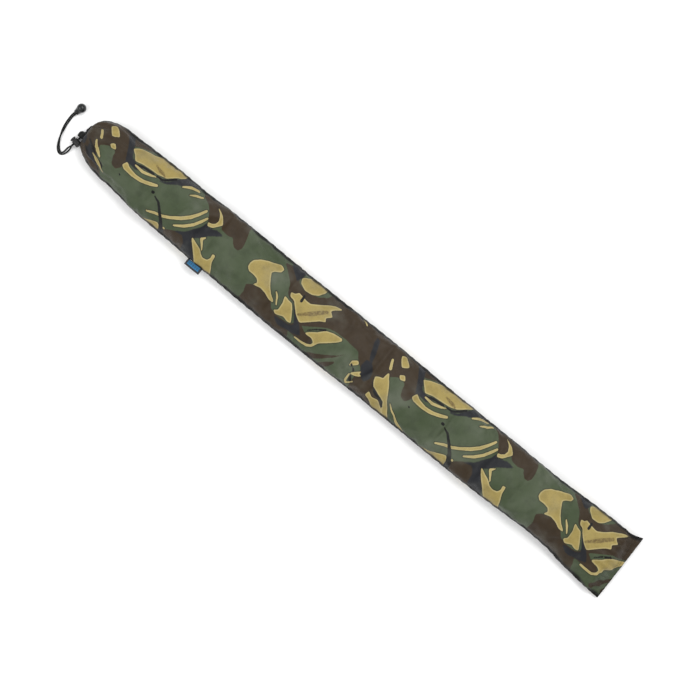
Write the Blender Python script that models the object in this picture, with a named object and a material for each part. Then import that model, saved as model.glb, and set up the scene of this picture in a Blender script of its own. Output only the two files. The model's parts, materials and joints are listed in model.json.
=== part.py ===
"""Long printed drawstring sleeve, packed and lying on its underside.

Two printed panels are sewn along both long edges and across the closed end. The open end is gathered
by a drawcord that runs in a folded casing. Both ends of the cord leave the casing at the label side,
pass through a spring cord lock and meet in a pear-shaped cord end.

Frame: +X runs from the gathered mouth to the closed end, +Y to the long edge opposite the label and
+Z up. The origin is the centre of the rectangle that the sleeve covers, on the surface it lies on.
"""

import math

import bmesh
import bpy
from mathutils import Vector

MM = 0.001

# Sleeve
LENGTH = 1200 * MM
GIRTH = 262 * MM  # round the two panels
PLEATED_TO = -440 * MM  # nearer the mouth than this, pleats take up the girth
CLOTH = 0.8 * MM  # coated cloth with its lining
GAP = 0.4 * MM  # between pieces that touch
# The far and the near edge at places along X, as the packed sleeve lies. The corner at the far end
# of the closed seam stands out like an ear.
EDGES = (
    (-510 * MM, 49.5 * MM, -45.0 * MM),
    (-470 * MM, 51.5 * MM, -49.0 * MM),
    (-430 * MM, 52.3 * MM, -52.0 * MM),
    (-350 * MM, 51.8 * MM, -53.6 * MM),
    (-300 * MM, 54.2 * MM, -55.0 * MM),
    (-150 * MM, 53.9 * MM, -56.8 * MM),
    (-50 * MM, 55.0 * MM, -56.4 * MM),
    (50 * MM, 56.0 * MM, -54.5 * MM),
    (200 * MM, 55.0 * MM, -54.5 * MM),
    (300 * MM, 55.3 * MM, -54.0 * MM),
    (370 * MM, 54.8 * MM, -51.5 * MM),
    (425 * MM, 55.3 * MM, -48.6 * MM),
    (475 * MM, 57.6 * MM, -50.0 * MM),
    (505 * MM, 59.3 * MM, -54.5 * MM),
    (560 * MM, 59.8 * MM, -59.3 * MM),
    (580 * MM, 60.0 * MM, -61.0 * MM),
    (600 * MM, 67.6 * MM, -62.3 * MM),
)
END_LEAN = 3 * MM  # the closed seam's far corner lies this much nearer the mouth
SEAM_SHARE = 0.42  # the side seams' height, as a share of the sleeve's height
FLAT_DIP = 2.5 * MM  # how far the round underside would reach below the floor
FULL_DIP_HEIGHT = 25 * MM
UPPER_POWER = 2.2  # superellipse powers of the cross-section
LOWER_POWER = 2.6
END_HEIGHT = 3.6 * MM  # the two panels pressed together in the end seam
END_LIFT = 5.0 * MM  # the end seam's height above the floor
END_LIFT_FROM = 540 * MM

# Mouth: its axis leaves the sleeve almost along -X, and the cord leaves it almost along -Y.
MOUTH_TILT = math.radians(8)
MOUTH_CENTRE = Vector((-593.4, -10.3, 7.0)) * MM
OUT = Vector((-math.cos(MOUTH_TILT), math.sin(MOUTH_TILT), 0))
ALONG_CORD = Vector((-math.sin(MOUTH_TILT), -math.cos(MOUTH_TILT), 0))
UP = Vector((0, 0, 1))
CASING_HALF = 6.0 * MM
CASING_RADIUS = 6.6 * MM
CASING_HOLE = 1.5 * MM
CASING_WALL = 0.7 * MM
CASING_FOLDS = 11
FOLD_DEPTH = 0.03  # of the radius
EXIT_HALF_ANGLE = math.radians(36)
NECK_RADIUS = 6.4 * MM

# Shoulder, where the sleeve widens from the neck: its far edge is blunt, its near edge a long taper.
FAR_SHOULDER = 62 * MM
NEAR_SHOULDER = 85 * MM
FAR_POWER = 2.8
NEAR_POWER = 1.7
SHOULDER_RISE = 0.75

# Cord
CORD = 2.8 * MM
PAIR = 3.1 * MM  # between the centres of the two tails
LOOP_RADIUS = 4.0 * MM
LOOP_EXIT_RADIUS = 2.0 * MM
LOOP_LEG_END = 6.7 * MM
TAIL_START = 7.0 * MM
CORD_OUT = 1.6 * MM  # the cord lies this far out of the mouth's centre

# Cord lock, measured along its barrel from the closed end
LOCK_CENTRE = 13.4 * MM  # from the mouth's centre, along the cord
LOCK_TRAVEL = 4.0 * MM
BARREL_RADIUS = 5.8 * MM
BARREL_LENGTH = 12.2 * MM
BORE_RADIUS = 4.7 * MM
BORE_FLOOR = 1.2 * MM
PLUNGER_RADIUS = 4.4 * MM
PLUNGER_FOOT = 6.1 * MM
PLUNGER_NECK = 15.2 * MM
PLUNGER_TOP = 17.4 * MM
PLUNGER_TRAVEL = 2.6 * MM
CLEARANCE = 0.3 * MM
CORD_HOLE_AT = 8.8 * MM
SLOT_FROM = CORD_HOLE_AT - CORD / 2 - CLEARANCE
SLOT_LENGTH = CORD + PLUNGER_TRAVEL + 2 * CLEARANCE
HOLE_HALF = CORD / 2 + CLEARANCE
SPRING_WIRE = 0.5 * MM
SPRING_RADIUS = 3.1 * MM
SPRING_TURNS = 3.5

# Cord end, measured along its axis from its open end
END_ENTRY = Vector((-628.6, 17.2, 5.2)) * MM
END_AXIS = Vector((0.252, 0.920, 0.285)).normalized()
SHELL_RADIUS = 8.2 * MM
SHELL_CENTRE = 11.7 * MM
SHELL_MOUTH = 4.9 * MM
SHELL_WALL = 1.2 * MM
PLUG_LENGTH = 2.2 * MM
KNOT_RADIUS = 4.4 * MM
KNOT_AT = 11.6 * MM
TAIL_INSIDE = 6.6 * MM

# The two tails' common middle after the lock, in mm, then the twist of the pair in degrees and the
# distance between the two in mm: at 90 degrees tail a is on top, at 0 it is inside the bend.
ROUTE_FROM_LOCK = (
    (-598.9, -37.4, 6.0, 50, 3.8),
    (-599.6, -42.0, 4.8, 16, 4.5),
    (-600.4, -46.6, 3.4, 4, 4.3),
    (-601.7, -50.8, 2.3, 0, 3.6),
    (-604.0, -54.0, 1.7, 0, 3.1),
    (-607.4, -55.4, 1.6, 0, 3.1),
    (-611.0, -53.9, 1.7, -8, 3.1),
    (-614.6, -50.6, 2.1, -24, 3.1),
    (-617.9, -46.2, 2.6, -48, 3.1),
    (-620.9, -41.2, 3.05, -72, 3.1),
    (-623.5, -35.8, 3.15, -90, 3.1),
    (-625.7, -30.2, 3.05, -108, 3.1),
    (-627.5, -24.4, 2.6, -134, 3.1),
    (-629.0, -18.4, 2.1, -158, 3.1),
    (-630.2, -12.4, 1.7, -172, 3.1),
    (-631.0, -6.2, 1.6, -180, 3.1),
    (-631.4, 0.0, 1.7, -180, 3.1),
    (-631.4, 5.6, 2.1, -180, 3.1),
    (-630.8, 10.2, 2.9, -180, 3.1),
)

# Label and inner tapes
LABEL_CENTRE_X = -302 * MM
LABEL_LENGTH = 31 * MM
LABEL_REACH = 12 * MM
LABEL_THICK = 0.9 * MM
TAPE_WIDTH = 8 * MM
TAPE_THICK = 1.4 * MM
TAPE_INSET = 2.8 * MM
SIDE_TAPE_SPAN = (-480 * MM, 560 * MM)
END_TAPE_SPAN = (573 * MM, 581 * MM)
END_TAPE_HALF = 50 * MM
FILLING_INSET = 12.5 * MM
FILLING_GAP = 0.9 * MM
FILLING_SPAN = (-548 * MM, 566 * MM)
FILLING_ROUNDING = 45 * MM

# How finely the soft shapes are divided
SHOULDER_RINGS = 12
BODY_RINGS = 30
PANEL_STEPS = 16
SEAM_ANGLE = 0.0035  # the panels stop this many radians short of the seam line
TAPE_STEPS = 22
FILLING_RINGS = 26
FILLING_SIDES = 20

MATERIALS = {
    "printed_cloth": ((0.13, 0.16, 0.08), 0.75, 0.0),
    "seam_tape": ((0.02, 0.02, 0.02), 0.85, 0.0),
    "filling": ((0.45, 0.45, 0.42), 0.9, 0.0),
    "casing_cloth": ((0.03, 0.035, 0.03), 0.8, 0.0),
    "cord": ((0.012, 0.013, 0.013), 0.85, 0.0),
    "lock_plastic": ((0.015, 0.016, 0.016), 0.4, 0.0),
    "spring_steel": ((0.55, 0.55, 0.55), 0.3, 1.0),
    "cord_end_rubber": ((0.016, 0.018, 0.018), 0.35, 0.0),
    "label_weave": ((0.02, 0.10, 0.18), 0.7, 0.0),
}


def clear_scene():
    for obj in list(bpy.data.objects):
        bpy.data.objects.remove(obj, do_unlink=True)


def make_materials():
    made = {}
    for name, (colour, roughness, metallic) in MATERIALS.items():
        material = bpy.data.materials.new(name)
        material.use_nodes = True
        shader = material.node_tree.nodes["Principled BSDF"]
        shader.inputs["Base Color"].default_value = (*colour, 1)
        shader.inputs["Roughness"].default_value = roughness
        shader.inputs["Metallic"].default_value = metallic
        made[name] = material
    return made


# Numbers and curves


def through(stations, at):
    """A smooth curve's value at one place. Each station is a place and a value, in rising order."""
    places = [s[0] for s in stations]
    values = [s[1] for s in stations]
    last = len(stations) - 1

    def slope(i):
        low, high = max(i - 1, 0), min(i + 1, last)
        return (values[high] - values[low]) / (places[high] - places[low])

    i = max(0, min(last - 1, sum(p <= at for p in places) - 1))
    width = places[i + 1] - places[i]
    t = min(max((at - places[i]) / width, 0), 1)
    start, end = slope(i) * width, slope(i + 1) * width
    rise = values[i + 1] - values[i]
    bend = t * (1 - t) * ((1 - t) * start - t * end)
    return values[i] + rise * t * t * (3 - 2 * t) + bend


def ease(low, high, at):
    t = min(max((at - low) / (high - low), 0), 1)
    return t * t * (3 - 2 * t)


def power_of(value, power):
    return math.copysign(abs(value) ** (2 / power), value)


def section_point(angle, width, base, height, floor=True):
    """Sideways and up, for one angle round a cross-section. Angle 0 is the far seam, pi the near."""
    seam = base + SEAM_SHARE * height
    up = math.sin(angle)
    if up >= 0:
        power = UPPER_POWER
        reach = base + height - seam
    else:
        power = LOWER_POWER
        reach = seam - base + (FLAT_DIP * min(height / FULL_DIP_HEIGHT, 1) if floor else 0)
    side = width * power_of(math.cos(angle), power)
    return side, max(seam + reach * power_of(up, power), base)


def far_edge(x):
    return through([(at, far) for at, far, _ in EDGES], x)


def near_edge(x):
    return through([(at, near) for at, _, near in EDGES], x)


def girth_of(width, height):
    steps = 72
    points = [
        Vector(section_point(2 * math.pi * i / steps, width, 0, height))
        for i in range(steps)
    ]
    return sum((points[i] - points[i - 1]).length for i in range(steps))


def height_at(x):
    """The cloth's girth is constant, so a narrower stretch of the sleeve is a thicker one."""
    at = max(x, PLEATED_TO)
    width = (far_edge(at) - near_edge(at)) / 2
    low, high = END_HEIGHT, 100 * MM
    for _ in range(24):
        middle = (low + high) / 2
        low, high = (middle, high) if girth_of(width, middle) < GIRTH else (low, middle)
    closing = ease(LENGTH / 2, LENGTH / 2 - 34 * MM, x)
    return END_HEIGHT + (low - END_HEIGHT) * closing


def base_at(x):
    return END_LIFT * ease(END_LIFT_FROM, LENGTH / 2, x)


def mouth_point(out, along, up):
    """A point given from the mouth's centre: out of the mouth, along the cord and up."""
    return MOUTH_CENTRE + OUT * out + ALONG_CORD * along + UP * up


# Rings of the sleeve's outer surface


class Ring:
    """A cross-section between a far edge point and a near edge point, both in plan."""

    def __init__(self, far, near, base, height, roundness=0.0):
        self.far, self.near = Vector(far), Vector(near)
        self.base, self.height, self.roundness = base, height, roundness

    def inset(self, distance):
        """The ring inside this one, for the cloth's inner face."""
        across = (self.far - self.near).normalized() * distance
        return Ring(
            self.far - across,
            self.near + across,
            self.base + distance,
            self.height - 2 * distance,
            self.roundness,
        )

    def point(self, angle):
        half = (self.far - self.near) / 2
        middle = (self.far + self.near) / 2
        side, up = section_point(
            angle, half.length, self.base, self.height, self.roundness == 0
        )
        round_side = half.length * math.cos(angle)
        round_up = self.base + self.height * (0.5 + 0.5 * math.sin(angle))
        side += (round_side - side) * self.roundness
        up += (round_up - up) * self.roundness
        plan = middle + half.normalized() * side
        return Vector((plan.x, plan.y, up))


def quarter(start, end, power, angle):
    """A quarter of a superellipse that leaves start across the sleeve and reaches end along it."""
    return (
        start[0] + (end[0] - start[0]) * (1 - power_of(math.cos(angle), power)),
        start[1] + (end[1] - start[1]) * power_of(math.sin(angle), power),
    )


def shoulder_rings(count):
    """From the neck, a small round ring, to the first full-width ring."""
    neck = mouth_point(-CASING_HALF - GAP, 0, 0)
    across = Vector((-ALONG_CORD.x, -ALONG_CORD.y)) * NECK_RADIUS
    far_start = neck.xy + across
    near_start = neck.xy - across
    far_x, near_x = far_start.x + FAR_SHOULDER, near_start.x + NEAR_SHOULDER
    far_y, near_y = far_edge(far_x), near_edge(near_x)
    full = height_at(far_x)
    rings = []
    for i in range(count):
        q = math.pi / 2 * i / count
        far = quarter(far_start, (far_x, far_y), FAR_POWER, q)
        near = quarter(near_start, (near_x, near_y), NEAR_POWER, q)
        grown = math.sin(q) ** SHOULDER_RISE
        height = 2 * NECK_RADIUS + (full - 2 * NECK_RADIUS) * grown
        base = (neck.z - NECK_RADIUS) * (1 - grown) ** 2
        rings.append(Ring(far, near, base, height, 1 - ease(0, 1, grown)))
    return rings


def body_rings(count):
    """From the shoulder to the closed end. The first ones still lean as the shoulder's do."""
    rings = []
    neck_x = mouth_point(-CASING_HALF - GAP, 0, 0).x
    far_x, near_x = neck_x + FAR_SHOULDER, neck_x + NEAR_SHOULDER
    for i in range(count + 1):
        t = i / count
        x = far_x + (LENGTH / 2 - far_x) * (t + 0.12 * math.sin(2 * math.pi * t) / math.pi)
        lean = (near_x - far_x) * (1 - ease(far_x, far_x + 120 * MM, x))
        end_lean = END_LEAN * ease(LENGTH / 2 - 60 * MM, LENGTH / 2, x)
        far = (x - end_lean, far_edge(x))
        near = (x + lean, near_edge(x + lean))
        rings.append(Ring(far, near, base_at(x), height_at(x)))
    return rings


# Mesh helpers


def new_object(name, mesh, material):
    obj = bpy.data.objects.new(name, mesh)
    bpy.context.scene.collection.objects.link(obj)
    obj.data.materials.append(material)
    return obj


def mesh_of(name, points, faces, smooth_angle=None):
    mesh = bpy.data.meshes.new(name)
    mesh.from_pydata(points, [], faces)
    tidy = bmesh.new()
    tidy.from_mesh(mesh)
    bmesh.ops.recalc_face_normals(tidy, faces=tidy.faces)
    tidy.to_mesh(mesh)
    tidy.free()
    if smooth_angle:
        mesh.shade_smooth()
        mesh.set_sharp_from_angle(angle=math.radians(smooth_angle))
    return mesh


def loft(name, loops, smooth_angle=40):
    """A solid through closed loops of points, each with a flat cap at its end."""
    size = len(loops[0])
    points = [p for loop in loops for p in loop]
    faces = []
    for row in range(len(loops) - 1):
        for i in range(size):
            j = (i + 1) % size
            a, b = row * size, (row + 1) * size
            faces.append((a + i, a + j, b + j, b + i))
    faces.append(tuple(range(size)))
    faces.append(tuple(range(len(points) - size, len(points))))
    return mesh_of(name, points, faces, smooth_angle)


def lathe(name, profile, steps, place, start=0.0, sweep=2 * math.pi, wave=None):
    """Turns a closed profile of (along, radius) round an axis. place puts (along, sideways, up)."""
    whole = abs(sweep - 2 * math.pi) < 1e-6
    rows = steps if whole else steps + 1
    points = []
    for row in range(rows):
        angle = start + sweep * row / steps
        stretch = wave(angle) if wave else 1.0
        for along, radius in profile:
            radius *= stretch
            points.append(place(along, radius * math.cos(angle), radius * math.sin(angle)))
    size = len(profile)
    faces = []
    for row in range(steps):
        a, b = row * size, ((row + 1) % rows) * size
        for i in range(size):
            j = (i + 1) % size
            faces.append((a + i, a + j, b + j, b + i))
    if not whole:
        faces.append(tuple(range(size)))
        faces.append(tuple(range(steps * size, rows * size)))
    return mesh_of(name, points, faces, 35)


def turned(name, profile, steps, place):
    """A lathe shape whose profile starts and ends on the axis."""
    points = [place(profile[0][0], 0, 0)]
    for along, radius in profile[1:-1]:
        for i in range(steps):
            angle = 2 * math.pi * i / steps
            points.append(place(along, radius * math.cos(angle), radius * math.sin(angle)))
    points.append(place(profile[-1][0], 0, 0))
    faces = []
    rows = len(profile) - 2
    last = len(points) - 1
    for i in range(steps):
        j = (i + 1) % steps
        faces.append((0, 1 + i, 1 + j))
        for row in range(rows - 1):
            a, b = 1 + row * steps, 1 + (row + 1) * steps
            faces.append((a + i, b + i, b + j, a + j))
        end = 1 + (rows - 1) * steps
        faces.append((end + i, last, end + j))
    return mesh_of(name, points, faces, 35)


def tube(name, points, diameter, material, sides=2):
    """A round cord or wire along points, with filled ends."""
    curve = bpy.data.curves.new(name, "CURVE")
    curve.dimensions = "3D"
    curve.bevel_depth = diameter / 2
    curve.bevel_resolution = sides
    curve.use_fill_caps = True
    spline = curve.splines.new("POLY")
    spline.points.add(len(points) - 1)
    for spot, point in zip(spline.points, points):
        spot.co = (*point, 1)
    return new_object(name, curve, material)


def cut(obj, cutter):
    cutter.hide_render = True
    cutter.display_type = "WIRE"
    boolean = obj.modifiers.new("cut_" + cutter.name, "BOOLEAN")
    boolean.operation = "DIFFERENCE"
    boolean.object = cutter


# Cord routes


def spline_point(points, i, t):
    """Catmull-Rom, on points of any number of values."""
    last = len(points) - 1
    a, b, c, d = (points[min(max(k, 0), last)] for k in (i - 1, i, i + 1, i + 2))
    return [
        q + 0.5 * t * (r - p + t * (2 * p - 5 * q + 4 * r - s + t * (3 * (q - r) + s - p)))
        for p, q, r, s in zip(a, b, c, d)
    ]


def tail_middle():
    """The pair's middle, twist and spacing, from the casing's exit to the knot, closely spaced."""
    straight_to = LOCK_CENTRE + BARREL_RADIUS + LOCK_TRAVEL + 0.6 * MM
    steps = 4
    route = []
    for i in range(steps + 1):
        along = TAIL_START + (straight_to - TAIL_START) * i / steps
        route.append([*(mouth_point(CORD_OUT, along, 0) / MM), 90, PAIR / MM])
    route += [list(p) for p in ROUTE_FROM_LOCK]
    for reach in (0.0, TAIL_INSIDE / 2, TAIL_INSIDE):
        route.append([*((END_ENTRY + END_AXIS * reach) / MM), -180, PAIR / MM])
    pieces = 12
    fine = [
        spline_point(route, i, k / pieces)
        for i in range(len(route) - 1)
        for k in range(pieces)
    ]
    return fine + [route[-1]]


def tail_points(side):
    """One tail's centreline, evenly spaced. side is 1 for tail a and -1 for tail b."""
    middle = tail_middle()
    line = []
    for i, (x, y, z, twist, apart) in enumerate(middle):
        before, after = middle[max(i - 1, 0)], middle[min(i + 1, len(middle) - 1)]
        heading = Vector(after[:3]) - Vector(before[:3])
        sideways = heading.cross(UP).normalized()
        turn = math.radians(twist)
        offset = sideways * math.cos(turn) + UP * math.sin(turn)
        line.append((Vector((x, y, z)) + offset * side * apart / 2) * MM)
    return evenly(line, 1.5 * CORD)


def evenly(line, spacing):
    lengths = [0.0]
    for a, b in zip(line, line[1:]):
        lengths.append(lengths[-1] + (b - a).length)
    count = max(2, round(lengths[-1] / spacing))
    out = []
    k = 0
    for i in range(count + 1):
        want = lengths[-1] * i / count
        while k < len(line) - 2 and lengths[k + 1] < want:
            k += 1
        share = (want - lengths[k]) / (lengths[k + 1] - lengths[k])
        out.append(line[k].lerp(line[k + 1], share))
    return out


def loop_points():
    """The cord inside the casing: most of a circle, then two legs out of the exit."""
    leg = PAIR / 2
    corner_up = leg + LOOP_EXIT_RADIUS
    corner_along = math.sqrt((LOOP_RADIUS + LOOP_EXIT_RADIUS) ** 2 - corner_up**2)
    meet = math.atan2(corner_up, corner_along)
    half = [(LOOP_LEG_END, leg)]
    steps = 5
    for i in range(steps + 1):
        turn = -math.pi / 2 - (math.pi / 2 - meet) * i / steps
        half.append(
            (
                corner_along + LOOP_EXIT_RADIUS * math.cos(turn),
                corner_up + LOOP_EXIT_RADIUS * math.sin(turn),
            )
        )
    around = 22
    for i in range(1, around // 2 + 1):
        angle = meet + (math.pi - meet) * i / (around // 2)
        half.append((LOOP_RADIUS * math.cos(angle), LOOP_RADIUS * math.sin(angle)))
    whole = half + [(along, -up) for along, up in reversed(half[:-1])]
    return [mouth_point(CORD_OUT, along, up) for along, up in whole]


# The sleeve


def make_panels(materials):
    rings = shoulder_rings(SHOULDER_RINGS) + body_rings(BODY_RINGS)
    sweep = math.pi - 2 * SEAM_ANGLE
    for name, side in (("upper_panel", 1), ("lower_panel", -1)):
        angles = [side * (SEAM_ANGLE + sweep * i / PANEL_STEPS) for i in range(PANEL_STEPS + 1)]
        shift = UP * GAP if side > 0 else Vector()
        loops = []
        for ring in rings:
            inner_ring = ring.inset(CLOTH)
            outer = [ring.point(angle) for angle in angles]
            inner = [inner_ring.point(angle) for angle in reversed(angles)]
            loops.append([p + shift for p in outer + inner])
        new_object(name, loft(name, loops, 30), materials["printed_cloth"])


def make_side_tape(name, side, material):
    start, end = SIDE_TAPE_SPAN
    loops = []
    for i in range(TAPE_STEPS + 1):
        x = start + (end - start) * i / TAPE_STEPS
        outer = (far_edge(x) if side > 0 else near_edge(x)) - side * TAPE_INSET
        inner = outer - side * TAPE_WIDTH
        z = base_at(x) + SEAM_SHARE * height_at(x)
        low, high = z - TAPE_THICK / 2, z + TAPE_THICK / 2
        corners = ((outer, low), (inner, low), (inner, high), (outer, high))
        loops.append([Vector((x, y, up)) for y, up in corners])
    new_object(name, loft(name, loops, None), material)


def make_end_tape(material):
    low_x, high_x = END_TAPE_SPAN
    middle = (low_x + high_x) / 2
    z = base_at(middle) + SEAM_SHARE * height_at(middle)
    low, high = z - TAPE_THICK / 2, z + TAPE_THICK / 2
    corners = ((low_x, low), (high_x, low), (high_x, high), (low_x, high))
    ends = (-END_TAPE_HALF, END_TAPE_HALF)
    loops = [[Vector((x, y, up)) for x, up in corners] for y in ends]
    new_object("end_seam_tape", loft("end_seam_tape", loops, None), material)


def make_filling(material):
    """The soft roll that the sleeve is packed with, a little smaller than the inside."""
    start, end = FILLING_SPAN
    loops = []
    for i in range(FILLING_RINGS + 1):
        t = 0.5 - 0.5 * math.cos(math.pi * i / FILLING_RINGS)
        x = start + (end - start) * t
        near_end = min(x - start, end - x)
        taper = min(near_end / FILLING_ROUNDING, 1)
        share = 0.35 + 0.65 * math.sqrt(max(1 - (1 - taper) ** 2, 0))
        far, near = far_edge(x), near_edge(x)
        width = ((far - near) / 2 - FILLING_INSET) * share
        height = height_at(x)
        base, inner = base_at(x), 2 * (CLOTH + FILLING_GAP)
        middle = base + SEAM_SHARE * height
        loop = []
        for k in range(FILLING_SIDES):
            side, up = section_point(2 * math.pi * k / FILLING_SIDES, width, base, height)
            up = middle + (up - middle) * (height - inner) / height * share
            loop.append(Vector((x, (far + near) / 2 + side, up)))
        loops.append(loop)
    new_object("packed_filling", loft("packed_filling", loops), material)


def make_casing(materials):
    """The folded channel at the mouth, gathered into pleats, with a gap where the cord leaves."""
    outer, hole, wall = CASING_RADIUS, CASING_HOLE, CASING_WALL
    tip = CASING_HALF
    profile = (
        (-tip, outer - wall),
        (-tip, outer),
        (tip - 1.6 * MM, outer),
        (tip - 0.5 * MM, outer - 0.6 * MM),
        (tip, outer - 1.8 * MM),
        (tip, hole + 1.6 * MM),
        (tip - 0.5 * MM, hole + 0.5 * MM),
        (tip - 1.6 * MM, hole),
        (-tip, hole),
        (-tip, hole + wall),
        (tip - 1.8 * MM, hole + wall),
        (tip - wall, hole + 1.7 * MM),
        (tip - wall, outer - 1.9 * MM),
        (tip - 1.8 * MM, outer - wall),
    )
    mesh = lathe(
        "mouth_casing",
        profile,
        44,
        lambda along, side, up: mouth_point(along, side, up),
        EXIT_HALF_ANGLE,
        2 * math.pi - 2 * EXIT_HALF_ANGLE,
        lambda angle: 1 + FOLD_DEPTH * math.cos(CASING_FOLDS * angle),
    )
    new_object("mouth_casing", mesh, materials["casing_cloth"])


def make_label(material):
    x, reach = LABEL_CENTRE_X, LABEL_REACH
    start = near_edge(x) - 1.5 * GAP
    z = base_at(x) + SEAM_SHARE * height_at(x) + GAP / 2
    half, thick = LABEL_LENGTH / 2, LABEL_THICK / 2
    points = [
        Vector((x + side * half, start - out * reach, z + up * thick))
        for out in (0, 1)
        for side in (-1, 1)
        for up in (-1, 1)
    ]
    faces = [(0, 1, 3, 2), (4, 6, 7, 5), (0, 4, 5, 1), (2, 3, 7, 6), (0, 2, 6, 4), (1, 5, 7, 3)]
    hinge = Vector((x, start, z))
    mesh = mesh_of("side_label", [p - hinge for p in points], faces)
    obj = new_object("side_label", mesh, material)
    obj.location = hinge
    bevel = obj.modifiers.new("folded_edge", "BEVEL")
    bevel.width = 0.3 * MM
    bevel.segments = 2
    bevel.limit_method = "ANGLE"


# The cord, its lock and its end


def lock_point(along, side, up):
    """A point of the lock: along its barrel, along the cord and up, from its closed end's centre."""
    return mouth_point(CORD_OUT + along - CORD_HOLE_AT, LOCK_CENTRE + side, up)


def slot_cutter(name, start, end, half_height, reach):
    """A box with rounded top and bottom that runs along the cord."""
    half = (end - start) / 2
    middle = (start + end) / 2
    outline = []
    steps = 8
    corner = min(half, HOLE_HALF)
    for across, up, first in ((1, 1, 0), (-1, 1, 90), (-1, -1, 180), (1, -1, 270)):
        for i in range(steps + 1):
            angle = math.radians(first + 90 * i / steps)
            outline.append(
                (
                    middle + across * (half - corner) + corner * math.cos(angle),
                    up * (half_height - corner) + corner * math.sin(angle),
                )
            )
    points = [lock_point(a, side, up) for side in (-reach, reach) for a, up in outline]
    size = len(outline)
    faces = [tuple(range(size)), tuple(range(2 * size - 1, size - 1, -1))]
    faces += [(i, (i + 1) % size, size + (i + 1) % size, size + i) for i in range(size)]
    mesh = mesh_of(name, points, faces)
    tidy = bmesh.new()
    tidy.from_mesh(mesh)
    bmesh.ops.remove_doubles(tidy, verts=tidy.verts, dist=1e-6)
    bmesh.ops.recalc_face_normals(tidy, faces=tidy.faces)
    tidy.to_mesh(mesh)
    tidy.free()
    cutter = bpy.data.objects.new(name, mesh)
    bpy.context.scene.collection.objects.link(cutter)
    return cutter


def make_lock(materials):
    plastic = materials["lock_plastic"]
    edge = 0.8 * MM
    half_height = PAIR / 2 + HOLE_HALF
    barrel_profile = (
        (0, 0),
        (0, BARREL_RADIUS - 1.6 * MM),
        (edge * 0.4, BARREL_RADIUS - 0.6 * MM),
        (edge * 1.6, BARREL_RADIUS),
        (BARREL_LENGTH - edge, BARREL_RADIUS),
        (BARREL_LENGTH, BARREL_RADIUS - edge / 2),
        (BARREL_LENGTH, BORE_RADIUS),
        (BORE_FLOOR, BORE_RADIUS),
        (BORE_FLOOR, 0),
    )
    barrel = new_object(
        "cord_lock_barrel", turned("cord_lock_barrel", barrel_profile, 28, lock_point), plastic
    )
    hole = slot_cutter(
        "barrel_hole",
        CORD_HOLE_AT - HOLE_HALF,
        CORD_HOLE_AT + HOLE_HALF,
        half_height,
        2 * BARREL_RADIUS,
    )
    cut(barrel, hole)

    neck = PLUNGER_RADIUS - 0.4 * MM
    head = BARREL_RADIUS - 0.4 * MM
    plunger_profile = (
        (PLUNGER_FOOT, 0),
        (PLUNGER_FOOT, PLUNGER_RADIUS - 0.3 * MM),
        (PLUNGER_FOOT + 0.3 * MM, PLUNGER_RADIUS),
        (BARREL_LENGTH, PLUNGER_RADIUS),
        (BARREL_LENGTH + 0.5 * MM, neck),
        (PLUNGER_NECK, neck),
        (PLUNGER_NECK, head - 0.3 * MM),
        (PLUNGER_NECK + 0.3 * MM, head),
        (PLUNGER_TOP - 0.9 * MM, head),
        (PLUNGER_TOP - 0.3 * MM, head - 0.7 * MM),
        (PLUNGER_TOP, head - 2.2 * MM),
        (PLUNGER_TOP, 0),
    )
    plunger = new_object(
        "cord_lock_plunger", turned("cord_lock_plunger", plunger_profile, 28, lock_point), plastic
    )
    slot = slot_cutter(
        "plunger_slot", SLOT_FROM, SLOT_FROM + SLOT_LENGTH, half_height, 2 * BARREL_RADIUS
    )
    cut(plunger, slot)

    start = BORE_FLOOR + CLEARANCE + SPRING_WIRE / 2
    end = PLUNGER_FOOT - CLEARANCE - SPRING_WIRE / 2
    steps = round(SPRING_TURNS * 10)
    wire = []
    for i in range(steps + 1):
        angle = 2 * math.pi * SPRING_TURNS * i / steps
        along = start + (end - start) * i / steps
        wire.append(
            lock_point(along, SPRING_RADIUS * math.cos(angle), SPRING_RADIUS * math.sin(angle))
        )
    tube("cord_lock_spring", wire, SPRING_WIRE, materials["spring_steel"], 1)


def end_place():
    """Puts (along, sideways, up) of the cord end into the frame."""
    sideways = END_AXIS.cross(UP).normalized()
    up = sideways.cross(END_AXIS)

    def place(along, side, rise):
        return END_ENTRY + END_AXIS * along + sideways * side + up * rise

    return place


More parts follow.
